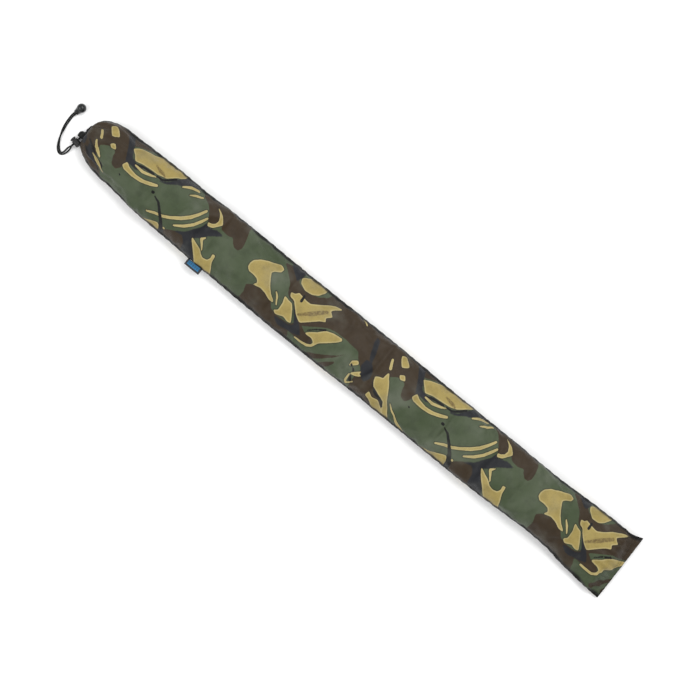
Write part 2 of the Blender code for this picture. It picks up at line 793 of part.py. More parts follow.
def make_cord_end(materials):
    place = end_place()
    rubber = materials["cord_end_rubber"]
    outer = [(0.0, SHELL_MOUTH)]
    inner = []
    steps = 9
    join = math.radians(130)
    for i in range(steps + 1):
        angle = join * (1 - i / steps)
        outer.append(
            (
                SHELL_CENTRE + SHELL_RADIUS * math.cos(angle),
                SHELL_RADIUS * math.sin(angle),
            )
        )
        hollow = SHELL_RADIUS - SHELL_WALL
        inner.append((SHELL_CENTRE + hollow * math.cos(angle), hollow * math.sin(angle)))
    outer[-1] = (SHELL_CENTRE + SHELL_RADIUS, 0)
    inner[-1] = (SHELL_CENTRE + SHELL_RADIUS - SHELL_WALL, 0)
    profile = list(reversed(outer)) + [(0.0, SHELL_MOUTH - 0.9 * MM)] + inner
    shell = turned("cord_end_shell", profile, 26, place)
    new_object("cord_end_shell", shell, rubber)

    plug_profile = (
        (-PLUG_LENGTH, SHELL_MOUTH - 0.7 * MM),
        (-0.9 * MM, SHELL_MOUTH),
        (-GAP, SHELL_MOUTH),
    )
    sides = 24
    loops = [
        [
            place(along, radius * math.cos(angle), radius * math.sin(angle))
            for angle in (2 * math.pi * k / sides for k in range(sides))
        ]
        for along, radius in plug_profile
    ]
    plug = new_object("cord_end_plug", loft("cord_end_plug", loops), rubber)
    around = HOLE_HALF + 0.2 * MM
    outline = []
    for first, centre in ((-90, PAIR / 2), (90, -PAIR / 2)):
        for i in range(9):
            angle = math.radians(first + 180 * i / 8)
            outline.append((centre + around * math.cos(angle), around * math.sin(angle)))
    through_plug = (-2 * PLUG_LENGTH, PLUG_LENGTH)
    hole_loops = [[place(along, side, up) for side, up in outline] for along in through_plug]
    hole = bpy.data.objects.new("plug_hole", loft("plug_hole", hole_loops, None))
    bpy.context.scene.collection.objects.link(hole)
    cut(plug, hole)

    knot_profile = [(KNOT_AT - KNOT_RADIUS, 0)]
    rounds = 8
    for i in range(1, rounds):
        angle = math.pi * i / rounds
        knot_profile.append(
            (KNOT_AT - KNOT_RADIUS * math.cos(angle), 1.15 * KNOT_RADIUS * math.sin(angle))
        )
    knot_profile.append((KNOT_AT + KNOT_RADIUS, 0))
    new_object("tail_knot", turned("tail_knot", knot_profile, 16, place), materials["cord"])


def main():
    clear_scene()
    materials = make_materials()
    make_panels(materials)
    make_side_tape("far_side_seam_tape", 1, materials["seam_tape"])
    make_side_tape("label_side_seam_tape", -1, materials["seam_tape"])
    make_end_tape(materials["seam_tape"])
    make_filling(materials["filling"])
    make_casing(materials)
    make_label(materials["label_weave"])
    tube("drawcord_loop", loop_points(), CORD, materials["cord"])
    tube("drawcord_tail_a", tail_points(1), CORD, materials["cord"])
    tube("drawcord_tail_b", tail_points(-1), CORD, materials["cord"])
    make_lock(materials)
    make_cord_end(materials)


main()
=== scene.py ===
import json
import math

import bmesh
import bpy
import numpy as np
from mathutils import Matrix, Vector


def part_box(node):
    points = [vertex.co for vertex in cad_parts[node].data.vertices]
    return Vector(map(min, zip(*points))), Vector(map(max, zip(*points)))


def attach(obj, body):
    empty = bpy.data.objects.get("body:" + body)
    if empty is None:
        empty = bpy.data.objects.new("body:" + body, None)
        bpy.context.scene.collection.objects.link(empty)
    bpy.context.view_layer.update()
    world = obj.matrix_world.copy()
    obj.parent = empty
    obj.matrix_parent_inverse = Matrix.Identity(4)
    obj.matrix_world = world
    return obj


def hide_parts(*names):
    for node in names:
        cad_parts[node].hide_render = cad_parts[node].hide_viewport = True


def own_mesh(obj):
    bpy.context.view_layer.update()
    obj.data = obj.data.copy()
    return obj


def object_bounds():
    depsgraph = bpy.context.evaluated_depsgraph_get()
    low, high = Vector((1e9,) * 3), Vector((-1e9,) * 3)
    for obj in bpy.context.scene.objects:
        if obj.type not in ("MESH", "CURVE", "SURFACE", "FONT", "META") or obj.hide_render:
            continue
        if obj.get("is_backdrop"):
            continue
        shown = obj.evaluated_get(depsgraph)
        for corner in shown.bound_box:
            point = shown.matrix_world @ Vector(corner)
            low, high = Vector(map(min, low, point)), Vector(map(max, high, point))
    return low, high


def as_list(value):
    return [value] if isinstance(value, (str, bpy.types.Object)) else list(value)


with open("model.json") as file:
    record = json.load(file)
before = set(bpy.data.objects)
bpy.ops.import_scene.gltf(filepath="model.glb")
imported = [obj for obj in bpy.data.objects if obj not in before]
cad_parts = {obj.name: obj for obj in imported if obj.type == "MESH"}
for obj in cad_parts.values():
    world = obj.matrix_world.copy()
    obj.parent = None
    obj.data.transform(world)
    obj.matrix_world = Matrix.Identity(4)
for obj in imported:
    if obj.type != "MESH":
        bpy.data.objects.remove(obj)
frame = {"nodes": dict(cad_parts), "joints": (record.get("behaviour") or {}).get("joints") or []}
cad_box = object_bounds()

# The looks of a packed, printed drawstring sleeve. Lengths are in metres, except where a comment
# says mm. The sleeve's outline repeats the CAD part's: +X runs from the gathered mouth to the closed
# end, and +Y away from the label.

MM = 0.001
LENGTH = 1200 * MM
END = LENGTH / 2
GIRTH = 262 * MM
PLEATED_TO = -440 * MM
# A place along the sleeve, with its far and its near edge there, in mm
EDGES = (
    (-510, 49.5, -45.0), (-470, 51.5, -49.0), (-430, 52.3, -52.0), (-350, 51.8, -53.6),
    (-300, 54.2, -55.0), (-150, 53.9, -56.8), (-50, 55.0, -56.4), (50, 56.0, -54.5),
    (200, 55.0, -54.5), (300, 55.3, -54.0), (370, 54.8, -51.5), (425, 55.3, -48.6),
    (475, 57.6, -50.0), (505, 59.3, -54.5), (560, 59.8, -59.3), (580, 60.0, -61.0),
    (600, 67.6, -62.3),
)
END_LEAN = 3 * MM
END_LEAN_OVER = 60 * MM
SEAM_SHARE = 0.42
FLAT_DIP = 2.5 * MM
FULL_DIP_HEIGHT = 25 * MM
UPPER_POWER = 2.2
LOWER_POWER = 2.6
MOST_HEIGHT = 100 * MM
END_HEIGHT = 3.6 * MM
END_FALL_OVER = 34 * MM
END_LIFT = 5.0 * MM
END_LIFT_FROM = 540 * MM

MOUTH_TILT = math.radians(8)
MOUTH_CENTRE = Vector((-593.4, -10.3, 7.0)) * MM
OUT = Vector((-math.cos(MOUTH_TILT), math.sin(MOUTH_TILT), 0))
ALONG_CORD = Vector((-math.sin(MOUTH_TILT), -math.cos(MOUTH_TILT), 0))
UP = Vector((0, 0, 1))
HEM_CENTRE = Vector((-588.5, 1.0, 7.4)) * MM
HEM_HALF = 14.5 * MM
HEM_RISE = 6.6 * MM
FAR_SHOULDER = 62 * MM
NEAR_SHOULDER = 85 * MM
SHOULDERS_MEET_OVER = 120 * MM
FAR_POWER = 2.05
NEAR_POWER = 1.95
SHOULDER_RISE = 0.75

CORD = 2.8 * MM
PAIR = 3.1 * MM
CORD_OUT = 1.6 * MM
TAIL_START = 7.0 * MM
LOCK_CENTRE = 13.4 * MM
STRAIGHT_TO = LOCK_CENTRE + 10.4 * MM
STRAIGHT_STEPS = 4
SPLINE_STEPS = 12
END_ENTRY = Vector((-628.6, 17.2, 5.2)) * MM
END_AXIS = Vector((0.252, 0.920, 0.285)).normalized()
TAIL_INSIDE = 6.6 * MM
# The two tails' middle after the lock in mm, the twist of the pair in degrees, its spacing in mm
ROUTE_FROM_LOCK = (
    (-598.9, -37.4, 6.0, 50, 3.8), (-599.6, -42.0, 4.8, 16, 4.5), (-600.4, -46.6, 3.4, 4, 4.3),
    (-601.7, -50.8, 2.3, 0, 3.6), (-604.0, -54.0, 1.7, 0, 3.1), (-607.4, -55.4, 1.6, 0, 3.1),
    (-611.0, -53.9, 1.7, -8, 3.1), (-614.6, -50.6, 2.1, -24, 3.1), (-617.9, -46.2, 2.6, -48, 3.1),
    (-620.9, -41.2, 3.05, -72, 3.1), (-623.5, -35.8, 3.15, -90, 3.1), (-625.7, -30.2, 3.05, -108, 3.1),
    (-627.5, -24.4, 2.6, -134, 3.1), (-629.0, -18.4, 2.1, -158, 3.1), (-630.2, -12.4, 1.7, -172, 3.1),
    (-631.0, -6.2, 1.6, -180, 3.1), (-631.4, 0.0, 1.7, -180, 3.1), (-631.4, 5.6, 2.1, -180, 3.1),
    (-630.8, 10.2, 2.9, -180, 3.1),
)

LABEL_LONG = 31 * MM

# The grid of each panel
COLUMNS = 66
SHOULDER_ROWS = 42
BODY_ROWS = 560
SECTION_POINTS = 241


# Curves


def through(stations, at):
    """A smooth curve's value at one place. Each station is a place and a value, in rising order."""
    places = [s[0] for s in stations]
    values = [s[1] for s in stations]
    last = len(stations) - 1

    def slope(i):
        low, high = max(i - 1, 0), min(i + 1, last)
        return (values[high] - values[low]) / (places[high] - places[low])

    i = max(0, min(last - 1, sum(p <= at for p in places) - 1))
    width = places[i + 1] - places[i]
    t = min(max((at - places[i]) / width, 0), 1)
    start, end = slope(i) * width, slope(i + 1) * width
    rise = values[i + 1] - values[i]
    return values[i] + rise * t * t * (3 - 2 * t) + t * (1 - t) * ((1 - t) * start - t * end)


def far_edge(x):
    return through([(at * MM, far * MM) for at, far, _ in EDGES], x)


def near_edge(x):
    return through([(at * MM, near * MM) for at, _, near in EDGES], x)


def ease(low, high, at):
    t = np.clip((at - low) / (high - low), 0, 1)
    return t * t * (3 - 2 * t)


def bell(at, centre, width, power=2):
    return np.exp(-(((at - centre) / width) ** power))


def power_of(value, power):
    return np.sign(value) * np.abs(value) ** (2 / power)


def run_along(points):
    """The length of a line in space, from its first point to each of its points."""
    return np.concatenate([[0], np.cumsum(np.linalg.norm(np.diff(points, axis=0), axis=1))])


def run_over(side, up):
    """The length of a cross-section's line, from its first point to each of its points."""
    return np.concatenate([[0], np.cumsum(np.hypot(np.diff(side), np.diff(up)))])


def section(angles, width, base, height, floor=True):
    """Sideways and up, for angles round a cross-section. Angle 0 is the far seam, pi the near one."""
    seam = base + SEAM_SHARE * height
    up = np.sin(angles)
    over = up >= 0
    dip = FLAT_DIP * min(height / FULL_DIP_HEIGHT, 1) if floor else 0
    reach = np.where(over, base + height - seam, seam - base + dip)
    power = np.where(over, UPPER_POWER, LOWER_POWER)
    side = width * power_of(np.cos(angles), power)
    return side, np.maximum(seam + reach * power_of(up, power), base)


def girth_of(width, height):
    side, up = section(np.linspace(0, 2 * math.pi, 145), width, 0, height)
    return np.hypot(np.diff(side), np.diff(up)).sum()


def height_at(x):
    """The height that gives the cloth's girth at this width, falling to the flat closed end."""
    at = max(x, PLEATED_TO)
    width = (far_edge(at) - near_edge(at)) / 2
    low, high = END_HEIGHT, MOST_HEIGHT
    for _ in range(20):
        middle = (low + high) / 2
        low, high = (middle, high) if girth_of(width, middle) < GIRTH else (low, middle)
    return END_HEIGHT + (low - END_HEIGHT) * ease(END, END - END_FALL_OVER, x)


def base_at(x):
    return END_LIFT * ease(END_LIFT_FROM, END, x)


def mouth_point(out, along, up):
    return MOUTH_CENTRE + OUT * out + ALONG_CORD * along + UP * up


# The sleeve's surface at rest


def ring(far, near, base, height, roundness, side):
    """One cross-section's upper or lower half, from the near seam to the far one, evenly spaced."""
    far, near = np.array(far), np.array(near)
    half = (far - near) / 2
    width = np.linalg.norm(half)
    angles = np.linspace(math.pi, 0, SECTION_POINTS) * side
    across, up = section(angles, width, base, height, roundness == 0)
    across += (width * np.cos(angles) - across) * roundness
    up += (base + height * (0.5 + 0.5 * np.sin(angles)) - up) * roundness
    length = run_over(across, up)
    even = np.linspace(0, length[-1], COLUMNS + 1)
    across, up = np.interp(even, length, across), np.interp(even, length, up)
    plan = (far + near) / 2 + np.outer(across, half / width)
    return np.column_stack([plan, up])


def quarter(start, end, power, angle):
    """A quarter of a superellipse that leaves start across the sleeve and reaches end along it."""
    return (
        start[0] + (end[0] - start[0]) * (1 - power_of(math.cos(angle), power)),
        start[1] + (end[1] - start[1]) * power_of(math.sin(angle), power),
    )


def ring_settings():
    """What every ring is made with, from the neck to the closed end."""
    neck = HEM_CENTRE
    across = Vector((0, HEM_HALF))
    far_start, near_start = neck.xy + across, neck.xy - across
    far_x, near_x = far_start.x + FAR_SHOULDER, near_start.x + NEAR_SHOULDER
    far_end, near_end = (far_x, far_edge(far_x)), (near_x, near_edge(near_x))
    full = height_at(far_x)
    settings = []
    for i in range(SHOULDER_ROWS):
        q = math.pi / 2 * i / SHOULDER_ROWS
        grown = math.sin(q) ** SHOULDER_RISE
        height = 2 * HEM_RISE + (full - 2 * HEM_RISE) * grown
        base = (neck.z - HEM_RISE) * (1 - grown) ** 2
        far = quarter(far_start, far_end, FAR_POWER, q)
        near = quarter(near_start, near_end, NEAR_POWER, q)
        settings.append((far, near, base, height, 1 - ease(0, 1, grown)))
    for x in np.linspace(far_x, END, BODY_ROWS + 1):
        lean = (NEAR_SHOULDER - FAR_SHOULDER) * (1 - ease(far_x, far_x + SHOULDERS_MEET_OVER, x))
        end_lean = END_LEAN * ease(END - END_LEAN_OVER, END, x)
        far = (x - end_lean, far_edge(x))
        near = (x + lean, near_edge(x + lean))
        settings.append((far, near, base_at(x), height_at(x), 0))
    return settings


# Mesh helpers


def new_piece(name, points, faces, material, uvs=None):
    mesh = bpy.data.meshes.new(name)
    mesh.from_pydata([tuple(p) for p in points], [], faces)
    if uvs is not None:
        coords = np.asarray(uvs, np.float32)
        corner = np.empty(len(mesh.loops), np.int32)
        mesh.loops.foreach_get("vertex_index", corner)
        mesh.uv_layers.new(name="Cloth").data.foreach_set("uv", coords[corner].ravel())
    mesh.materials.append(material)
    mesh.shade_smooth()
    obj = bpy.data.objects.new(name, mesh)
    bpy.context.scene.collection.objects.link(obj)
    return obj


def grid_faces(rows, columns, flip=False):
    a = (np.arange(rows - 1)[:, None] * columns + np.arange(columns - 1)[None, :]).ravel()
    quads = np.column_stack([a, a + 1, a + columns + 1, a + columns])
    return (quads[:, ::-1] if flip else quads).tolist()


def tube_faces(rings, sides, base=0):
    """The faces of a tube of rings with both ends closed, whose first point is number base."""
    faces = []
    for i in range(rings - 1):
        low, high = base + i * sides, base + (i + 1) * sides
        for j in range(sides):
            k = (j + 1) % sides
            faces.append((low + j, low + k, high + k, high + j))
    faces.append(tuple(range(base, base + sides))[::-1])
    faces.append(tuple(range(base + (rings - 1) * sides, base + rings * sides)))
    return faces


def face_outwards(mesh):
    work = bmesh.new()
    work.from_mesh(mesh)
    bmesh.ops.recalc_face_normals(work, faces=work.faces)
    work.to_mesh(mesh)
    work.free()


# Wrinkles, pleats and the simulation

SIM_STEP = 3
SIM_FRAMES = 24
MOST_MOVE = 6 * MM
CLOTH = {
    "quality": 6,
    "mass": 0.3,
    "tension_stiffness": 20,
    "compression_stiffness": 12,
    "shear_stiffness": 6,
    "bending_stiffness": 0.25,
    "air_damping": 2,
    "shrink_min": -0.03,
    "shrink_max": -0.03,
    "use_pressure": True,
    "uniform_pressure_force": 4,
    "vertex_group_mass": "held",
    "pin_stiffness": 4,
}


def smooth_noise(rng, rows, columns, row_cells, column_cells):
    """A smooth random field from -1 to 1 over a grid, with cells of about the given counts."""
    coarse = rng.uniform(-1, 1, (row_cells + 3, column_cells + 3))
    r = np.linspace(0.5, row_cells + 1.5, rows)
    c = np.linspace(0.5, column_cells + 1.5, columns)
    ri, ci = np.floor(r).astype(int), np.floor(c).astype(int)
    rt, ct = r - ri, c - ci
    rt, ct = rt * rt * (3 - 2 * rt), ct * ct * (3 - 2 * ct)
    top = coarse[ri][:, ci] * (1 - ct) + coarse[ri][:, ci + 1] * ct
    low = coarse[ri + 1][:, ci] * (1 - ct) + coarse[ri + 1][:, ci + 1] * ct
    return top * (1 - rt)[:, None] + low * rt[:, None]


def normals_of(grid):
    normal = np.cross(np.gradient(grid, axis=0), np.gradient(grid, axis=1))
    return normal / np.maximum(np.linalg.norm(normal, axis=2, keepdims=True), 1e-12)


def loose_cloth(tube, seam):
    """The tube as a cloth that is held at its ends and along both seams."""
    count, around = tube.shape[:2]
    mesh = bpy.data.meshes.new("loose_cloth")
    mesh.from_pydata(tube.reshape(-1, 3), [], tube_faces(count, around))
    face_outwards(mesh)
    cloth = bpy.data.objects.new("loose_cloth", mesh)
    bpy.context.scene.collection.objects.link(cloth)
    held = cloth.vertex_groups.new(name="held")
    for i in range(count):
        at_end = i < 2 or i > count - 3
        columns = range(around) if at_end else (0, seam)
        held.add([i * around + j for j in columns], 1.0, "REPLACE")
    modifier = cloth.modifiers.new("cloth", "CLOTH")
    for name, value in CLOTH.items():
        setattr(modifier.settings, name, value)
    modifier.settings.effector_weights.gravity = 0
    modifier.point_cache.frame_start = 1
    modifier.point_cache.frame_end = SIM_FRAMES
    return cloth


def simulate(upper, lower):
    """Lets the seamed cloth, cut a little loose, settle under the filling's pressure. It returns how
    far each point of the two grids moves."""
    rows = np.unique(np.append(np.arange(0, len(upper), SIM_STEP), len(upper) - 1))
    columns = np.arange(0, COLUMNS + 1, SIM_STEP)
    top, low = upper[rows][:, columns], lower[rows][:, columns]
    tube = np.concatenate([top, low[:, -2:0:-1]], axis=1)
    seam = len(columns) - 1
    cloth = loose_cloth(tube, seam)
    scene = bpy.context.scene
    for step in range(1, SIM_FRAMES + 1):
        scene.frame_set(step)
    settled = cloth.evaluated_get(bpy.context.evaluated_depsgraph_get()).to_mesh()
    spots = np.empty(len(settled.vertices) * 3)
    settled.vertices.foreach_get("co", spots)
    scene.frame_set(1)
    bpy.data.objects.remove(cloth)
    moved = spots.reshape(tube.shape) - tube
    far = np.linalg.norm(moved, axis=2, keepdims=True)
    moved *= MOST_MOVE * np.tanh(far / MOST_MOVE) / np.maximum(far, 1e-9)
    low_moved = np.concatenate([moved[:, :1], moved[:, : seam - 1 : -1]], axis=1)
    return [spread(move, rows, columns, len(upper)) for move in (moved[:, : seam + 1], low_moved)]


def spread(move, rows, columns, count):
    """The coarse grid's moves on the fine grid."""
    fine_columns = np.arange(COLUMNS + 1)
    fine_rows = np.arange(count)
    out = np.empty((count, COLUMNS + 1, 3))
    for axis in range(3):
        wide = np.array([np.interp(fine_columns, columns, line) for line in move[:, :, axis]])
        out[:, :, axis] = np.array([np.interp(fine_rows, rows, line) for line in wide.T]).T
    for _ in range(3):
        out[1:-1] = (out[:-2] + 2 * out[1:-1] + out[2:]) / 4
        out[:, 1:-1] = (out[:, :-2] + 2 * out[:, 1:-1] + out[:, 2:]) / 4
    return out


# Creases that the filling leaves, as start and end in mm on the cloth, then depth and width in mm
CREASES = (
    (-583, 8, -536, 40, 1.2, 3.4), (-585, 0, -498, 26, 1.3, 4.0), (-584, -6, -470, -6, 1.0, 4.4),
    (-580, -12, -505, -36, 1.1, 3.8), (-452, -40, -436, 2, 0.8, 5.0), (-377, -16, -366, 26, 1.2, 3.2),
    (-356, -8, -350, 30, 1.0, 3.4), (-300, 52, -262, 14, 0.9, 4.6), (-258, 50, -216, 16, 1.2, 4.2),
    (-244, 52, -182, 40, 0.9, 4.4), (-238, -44, -226, -6, 0.8, 5.0), (-120, 52, -66, 22, 0.9, 5.0),
    (-92, -40, -70, -4, 0.8, 4.6), (-46, 46, 40, 34, 1.1, 5.2), (-8, 26, 74, 14, 0.8, 5.0),
    (28, -46, 52, -4, 1.0, 4.0), (110, 44, 168, 16, 0.9, 4.6), (196, -46, 214, 4, 0.9, 4.6),
    (262, 48, 300, 10, 1.1, 4.2), (330, 46, 352, 0, 0.9, 4.4), (372, 50, 452, 30, 1.1, 5.0),
    (398, -44, 420, -8, 0.9, 4.2), (470, -40, 492, -4, 1.1, 4.2), (518, 48, 560, 22, 1.2, 4.4),
    (596, 44, 548, 26, 1.3, 3.4), (597, 12, 542, 4, 1.2, 3.6), (597, -18, 546, -26, 1.2, 3.6),
    (598, -40, 556, -48, 1.2, 3.2),
)
# Pleats, puckers and slack: how many across a panel, how deep, and how far from the mouth they reach
PLEATS, PLEAT_DEPTH, PLEAT_REACH = 15, 1.9 * MM, 48 * MM
LONG_PLEATS, LONG_DEPTH, LONG_REACH = 6.5, 1.2 * MM, 115 * MM
PUCKER_DEPTH, PUCKER_PITCH = 0.42 * MM, 17 * MM
GATHERS, GATHER_DEPTH = 5.5, 1.3 * MM
SLACK_BROAD, SLACK_FINE = 0.8 * MM, 0.45 * MM
SEAM_CREASE, SEAM_RIDGE = 0.5 * MM, 1.0 * MM
HEM_CREASE, HEM_FROM_END = 0.35 * MM, 9 * MM
LOWEST = 0.05 * MM


def crease_heights(x, f):
    """A sharp valley with a soft swelling on each side, faded at both ends."""
    x = x / MM
    y = np.broadcast_to(f * GIRTH / 4 / MM, x.shape)
    total = np.zeros(x.shape)
    for x1, y1, x2, y2, depth, width in CREASES:
        dx, dy = x2 - x1, y2 - y1
        length = math.hypot(dx, dy)
        along = ((x - x1) * dx + (y - y1) * dy) / length
        across = ((x - x1) * -dy + (y - y1) * dx) / length
        across = across + 0.06 * length * np.sin(math.pi * along / length)
        fade = ease(-0.25, 0.25, along / length) * ease(1.25, 0.6, along / length)
        swelling = 0.7 * bell(across, 1.9 * width, width)
        total += depth * MM * fade * (swelling - bell(across, 0, width))
    return total


def mouth_pleats(grid, f, noise):
    """Deep pleats at the gathered mouth, and longer, softer ones beyond them."""
    from_mouth = np.hypot(grid[:, :, 0] - MOUTH_CENTRE.x, grid[:, :, 1] - MOUTH_CENTRE.y)
    wander, slow = noise(60, 9), noise(26, 3)
    grown = 0.35 + 0.65 * np.clip(np.arange(len(grid))[:, None] / SHOULDER_ROWS, 0.12, 1)
    depth = PLEAT_DEPTH * bell(from_mouth, 0, PLEAT_REACH, 1.4) * grown
    folds = np.abs(np.sin(math.pi * PLEATS * f + 0.9 * slow + 0.4 * wander)) ** 0.8 * 2 - 1
    long_depth = LONG_DEPTH * bell(from_mouth, 0, LONG_REACH) * ease(20 * MM, 50 * MM, from_mouth)
    long_folds = np.sin(math.pi * LONG_PLEATS * f + 1.6 * slow + 0.5)
    return depth * folds * (0.75 + 0.35 * slow) + long_depth * long_folds


def add_folds(grid, side, rng):
    """Pleats from the gathered mouth, puckers at the seams and slack wrinkles over the filling."""
    rows, columns = grid.shape[:2]
    x = grid[:, :, 0]
    f = np.linspace(-1, 1, columns)[None, :]
    to_seam, to_end = 1 - np.abs(f), END - x
    flat = ease(4 * MM, 26 * MM, to_end)

    def noise(row_cells, column_cells):
        return smooth_noise(rng, rows, columns, row_cells, column_cells)

    total = mouth_pleats(grid, f, noise)
    phase = 2 * math.pi * x / PUCKER_PITCH + 3.5 * noise(70, 1)
    total += PUCKER_DEPTH * bell(to_seam, 0, 0.16) * np.sin(phase) * flat
    gather = GATHER_DEPTH * bell(to_end, 24 * MM, 20 * MM) * ease(3 * MM, 16 * MM, to_end)
    total += gather * np.sin(2 * math.pi * GATHERS * f + 2.2 * noise(20, 6))
    slack = (SLACK_BROAD * noise(46, 5) + SLACK_FINE * noise(110, 10)) * flat
    total += slack + crease_heights(x, f) if side > 0 else slack * 0.3
    total -= SEAM_CREASE * bell(to_seam, 0.085, 0.018) * flat
    total -= HEM_CREASE * bell(to_end, HEM_FROM_END, 1.2 * MM)
    total += SEAM_RIDGE * bell(to_seam, 0, 0.022) * ease(2 * MM, 14 * MM, to_end)
    total *= ease(0, 3, np.arange(rows)[:, None])
    grid += normals_of(grid) * side * total[:, :, None]
    grid[:, :, 2] = np.maximum(grid[:, :, 2], LOWEST)
    return grid


# The print: one repeat, drawn in mm as it is seen from above on a flat stretch of the
# sleeve, with the long edges near 55 and -55. Smooth outlines are closed curves through their points.

REPEAT = (638, 7)
BROWN = (
    ((-594, 80), (-478, 80), (-480, 53), (-498, 44), (-512, 37), (-502, 16), (-503, 2), (-506, -10),
     (-512, -18), (-522, -15), (-527, -4), (-529, 4), (-536, 8), (-546, 6), (-556, -2), (-556, -12),
     (-548, -26), (-540, -38), (-530, -50), (-524, -75), (-598, -75), (-606, -30), (-600, -10)),
    ((-364, 80), (-264, 80), (-266, 50), (-261, 38), (-257, 25), (-256, 15), (-260, 9), (-268, 9),
     (-275, 15), (-279, 20), (-288, 17), (-303, 19), (-312, 27), (-319, 20), (-327, 13), (-333, 17),
     (-343, 31), (-352, 42), (-364, 50)),
    ((-394, -80), (-384, -46), (-368, -33), (-350, -27), (-338, -30), (-326, -40), (-316, -50),
     (-308, -80)),
    ((-206, -80), (-209, -40), (-213, -27), (-206, -20), (-192, -16), (-176, -17), (-162, -22),
     (-152, -31), (-140, -34), (-112, -31), (-104, -20), (-96, -19), (-80, -27), (-66, -29),
     (-61, -35), (-67, -41), (-92, -43), (-106, -44), (-102, -52), (-98, -80)),
    ((-182, 48), (-168, 34), (-156, 24), (-148, 12), (-140, 4), (-128, 2), (-116, -12), (-102, -24),
     (-84, -14), (-66, -2), (-56, 4), (-40, 8), (-22, 9), (-8, 7), (10, 5), (18, -4), (30, -13),
     (40, -18), (46, -30), (44, -80), (72, -80), (76, 80), (-74, 80), (-88, 48), (-100, 37),
     (-112, 32), (-126, 30), (-140, 34), (-150, 44), (-160, 52)),
)
DARK = (
    ((-535, 80), (-519, 80), (-517, 52), (-509, 36), (-500, 18), (-489, 14), (-477, 15), (-475, 9),
     (-484, 4), (-497, 5), (-504, 2), (-511, 14), (-519, 30), (-529, 46)),
    ((-440, 16), (-426, 24), (-418, 35), (-411, 46), (-407, 80), (-370, 80), (-380, 50), (-396, 42),
     (-404, 33), (-412, 29), (-424, 20)),
    ((-331, 12), (-324, 8), (-316, 10), (-308, 13), (-294, 11), (-302, 4), (-316, -6), (-325, -16),
     (-333, -22), (-322, -35), (-312, -47), (-306, -80), (-334, -80), (-342, -40), (-352, -30),
     (-366, -33), (-352, -22), (-342, -8), (-334, 2)),
    ((-174, 80), (-142, 80), (-143, 46), (-148, 35), (-158, 40), (-170, 50)),
    ((-130, -1), (-124, -4), (-112, -18), (-106, -28), (-113, -33), (-140, -38), (-128, -46),
     (-100, -42), (-86, -36), (-92, -27), (-98, -21), (-106, -17), (-116, -7)),
    ((22, 44), (28, 42), (33, 30), (38, 16), (40, 5), (33, 8), (27, 20), (22, 34)),
    ((-608, -4), (-598, -2), (-586, -12), (-582, -24), (-588, -34), (-600, -30), (-609, -16)),
    ((-574, -12), (-562, -20), (-550, -32), (-536, -40), (-545, -44), (-562, -38), (-574, -26)),
)
TAN = (
    ((-509, 34), (-498, 41), (-484, 47), (-468, 53), (-450, 80), (-404, 80), (-408, 52), (-415, 43),
     (-424, 34), (-432, 28), (-446, 23), (-462, 21), (-480, 19), (-493, 16), (-500, 24)),
    ((-502, 5), (-494, 1), (-478, -2), (-462, 0), (-446, 6), (-438, 9), (-436, 6), (-448, -1),
     (-465, -7), (-482, -9), (-500, -8), (-506, -4)),
    ((-442, -58), (-424, -54), (-408, -48), (-397, -43), (-391, -48), (-385, -58), (-384, -80),
     (-442, -80)),
    ((-333, 45), (-325, 38), (-318, 27), (-319, 20), (-324, 16), (-330, 14), (-327, 9), (-318, 12),
     (-312, 20), (-308, 27), (-318, 37)),
    ((-336, -22), (-324, -26), (-314, -30), (-306, -36), (-298, -38), (-290, -36), (-287, -30),
     (-288, -23), (-283, -22), (-281, -34), (-276, -45), (-270, -58), (-270, -80), (-300, -80),
     (-302, -56), (-314, -46), (-326, -34)),
    ((-230, 7), (-228, 14), (-220, 22), (-208, 29), (-198, 33), (-186, 39), (-178, 35), (-179, 28),
     (-188, 22), (-191, 17), (-186, 8), (-178, -3), (-168, -13), (-157, -21), (-166, -22),
     (-178, -17), (-190, -15), (-203, -18), (-200, -12), (-204, -7), (-214, -5), (-223, -5),
     (-229, 0)),
    ((-147, 2), (-138, 0), (-130, -1), (-123, -9), (-111, -28), (-118, -30), (-128, -28),
     (-141, -34), (-147, -30), (-142, -24), (-143, -10)),
    ((-143, 14), (-139, 7), (-130, 5), (-122, -3), (-112, -12), (-100, -18), (-86, -6), (-74, 5),
     (-66, 10), (-69, 16), (-62, 24), (-70, 31), (-56, 46), (-68, 43), (-82, 35), (-94, 25),
     (-105, 18), (-114, 18), (-125, 20), (-131, 21), (-136, 16)),
    ((-143, 44), (-139, 36), (-126, 30), (-112, 32), (-103, 39), (-97, 49), (-96, 66), (-116, 66),
     (-134, 52)),
    ((-81, -26), (-66, -13), (-56, -2), (-44, 3), (-26, 6), (-23, 3), (-30, -6), (-42, -17),
     (-52, -26), (-57, -38), (-66, -45), (-92, -46), (-91, -43), (-68, -41), (-61, -36), (-60, -31),
     (-66, -28)),
    ((12, -14), (20, -7), (25, -11), (18, -19), (13, -23)),
    ((23, -32), (28, -25), (34, -19), (37, -17), (36, -22), (41, -24), (34, -29)),
    ((-563, 40), (-555, 45), (-541, 32), (-551, 24)),
    ((-545, 11), (-538, 16), (-532, 9), (-540, 6)),
)
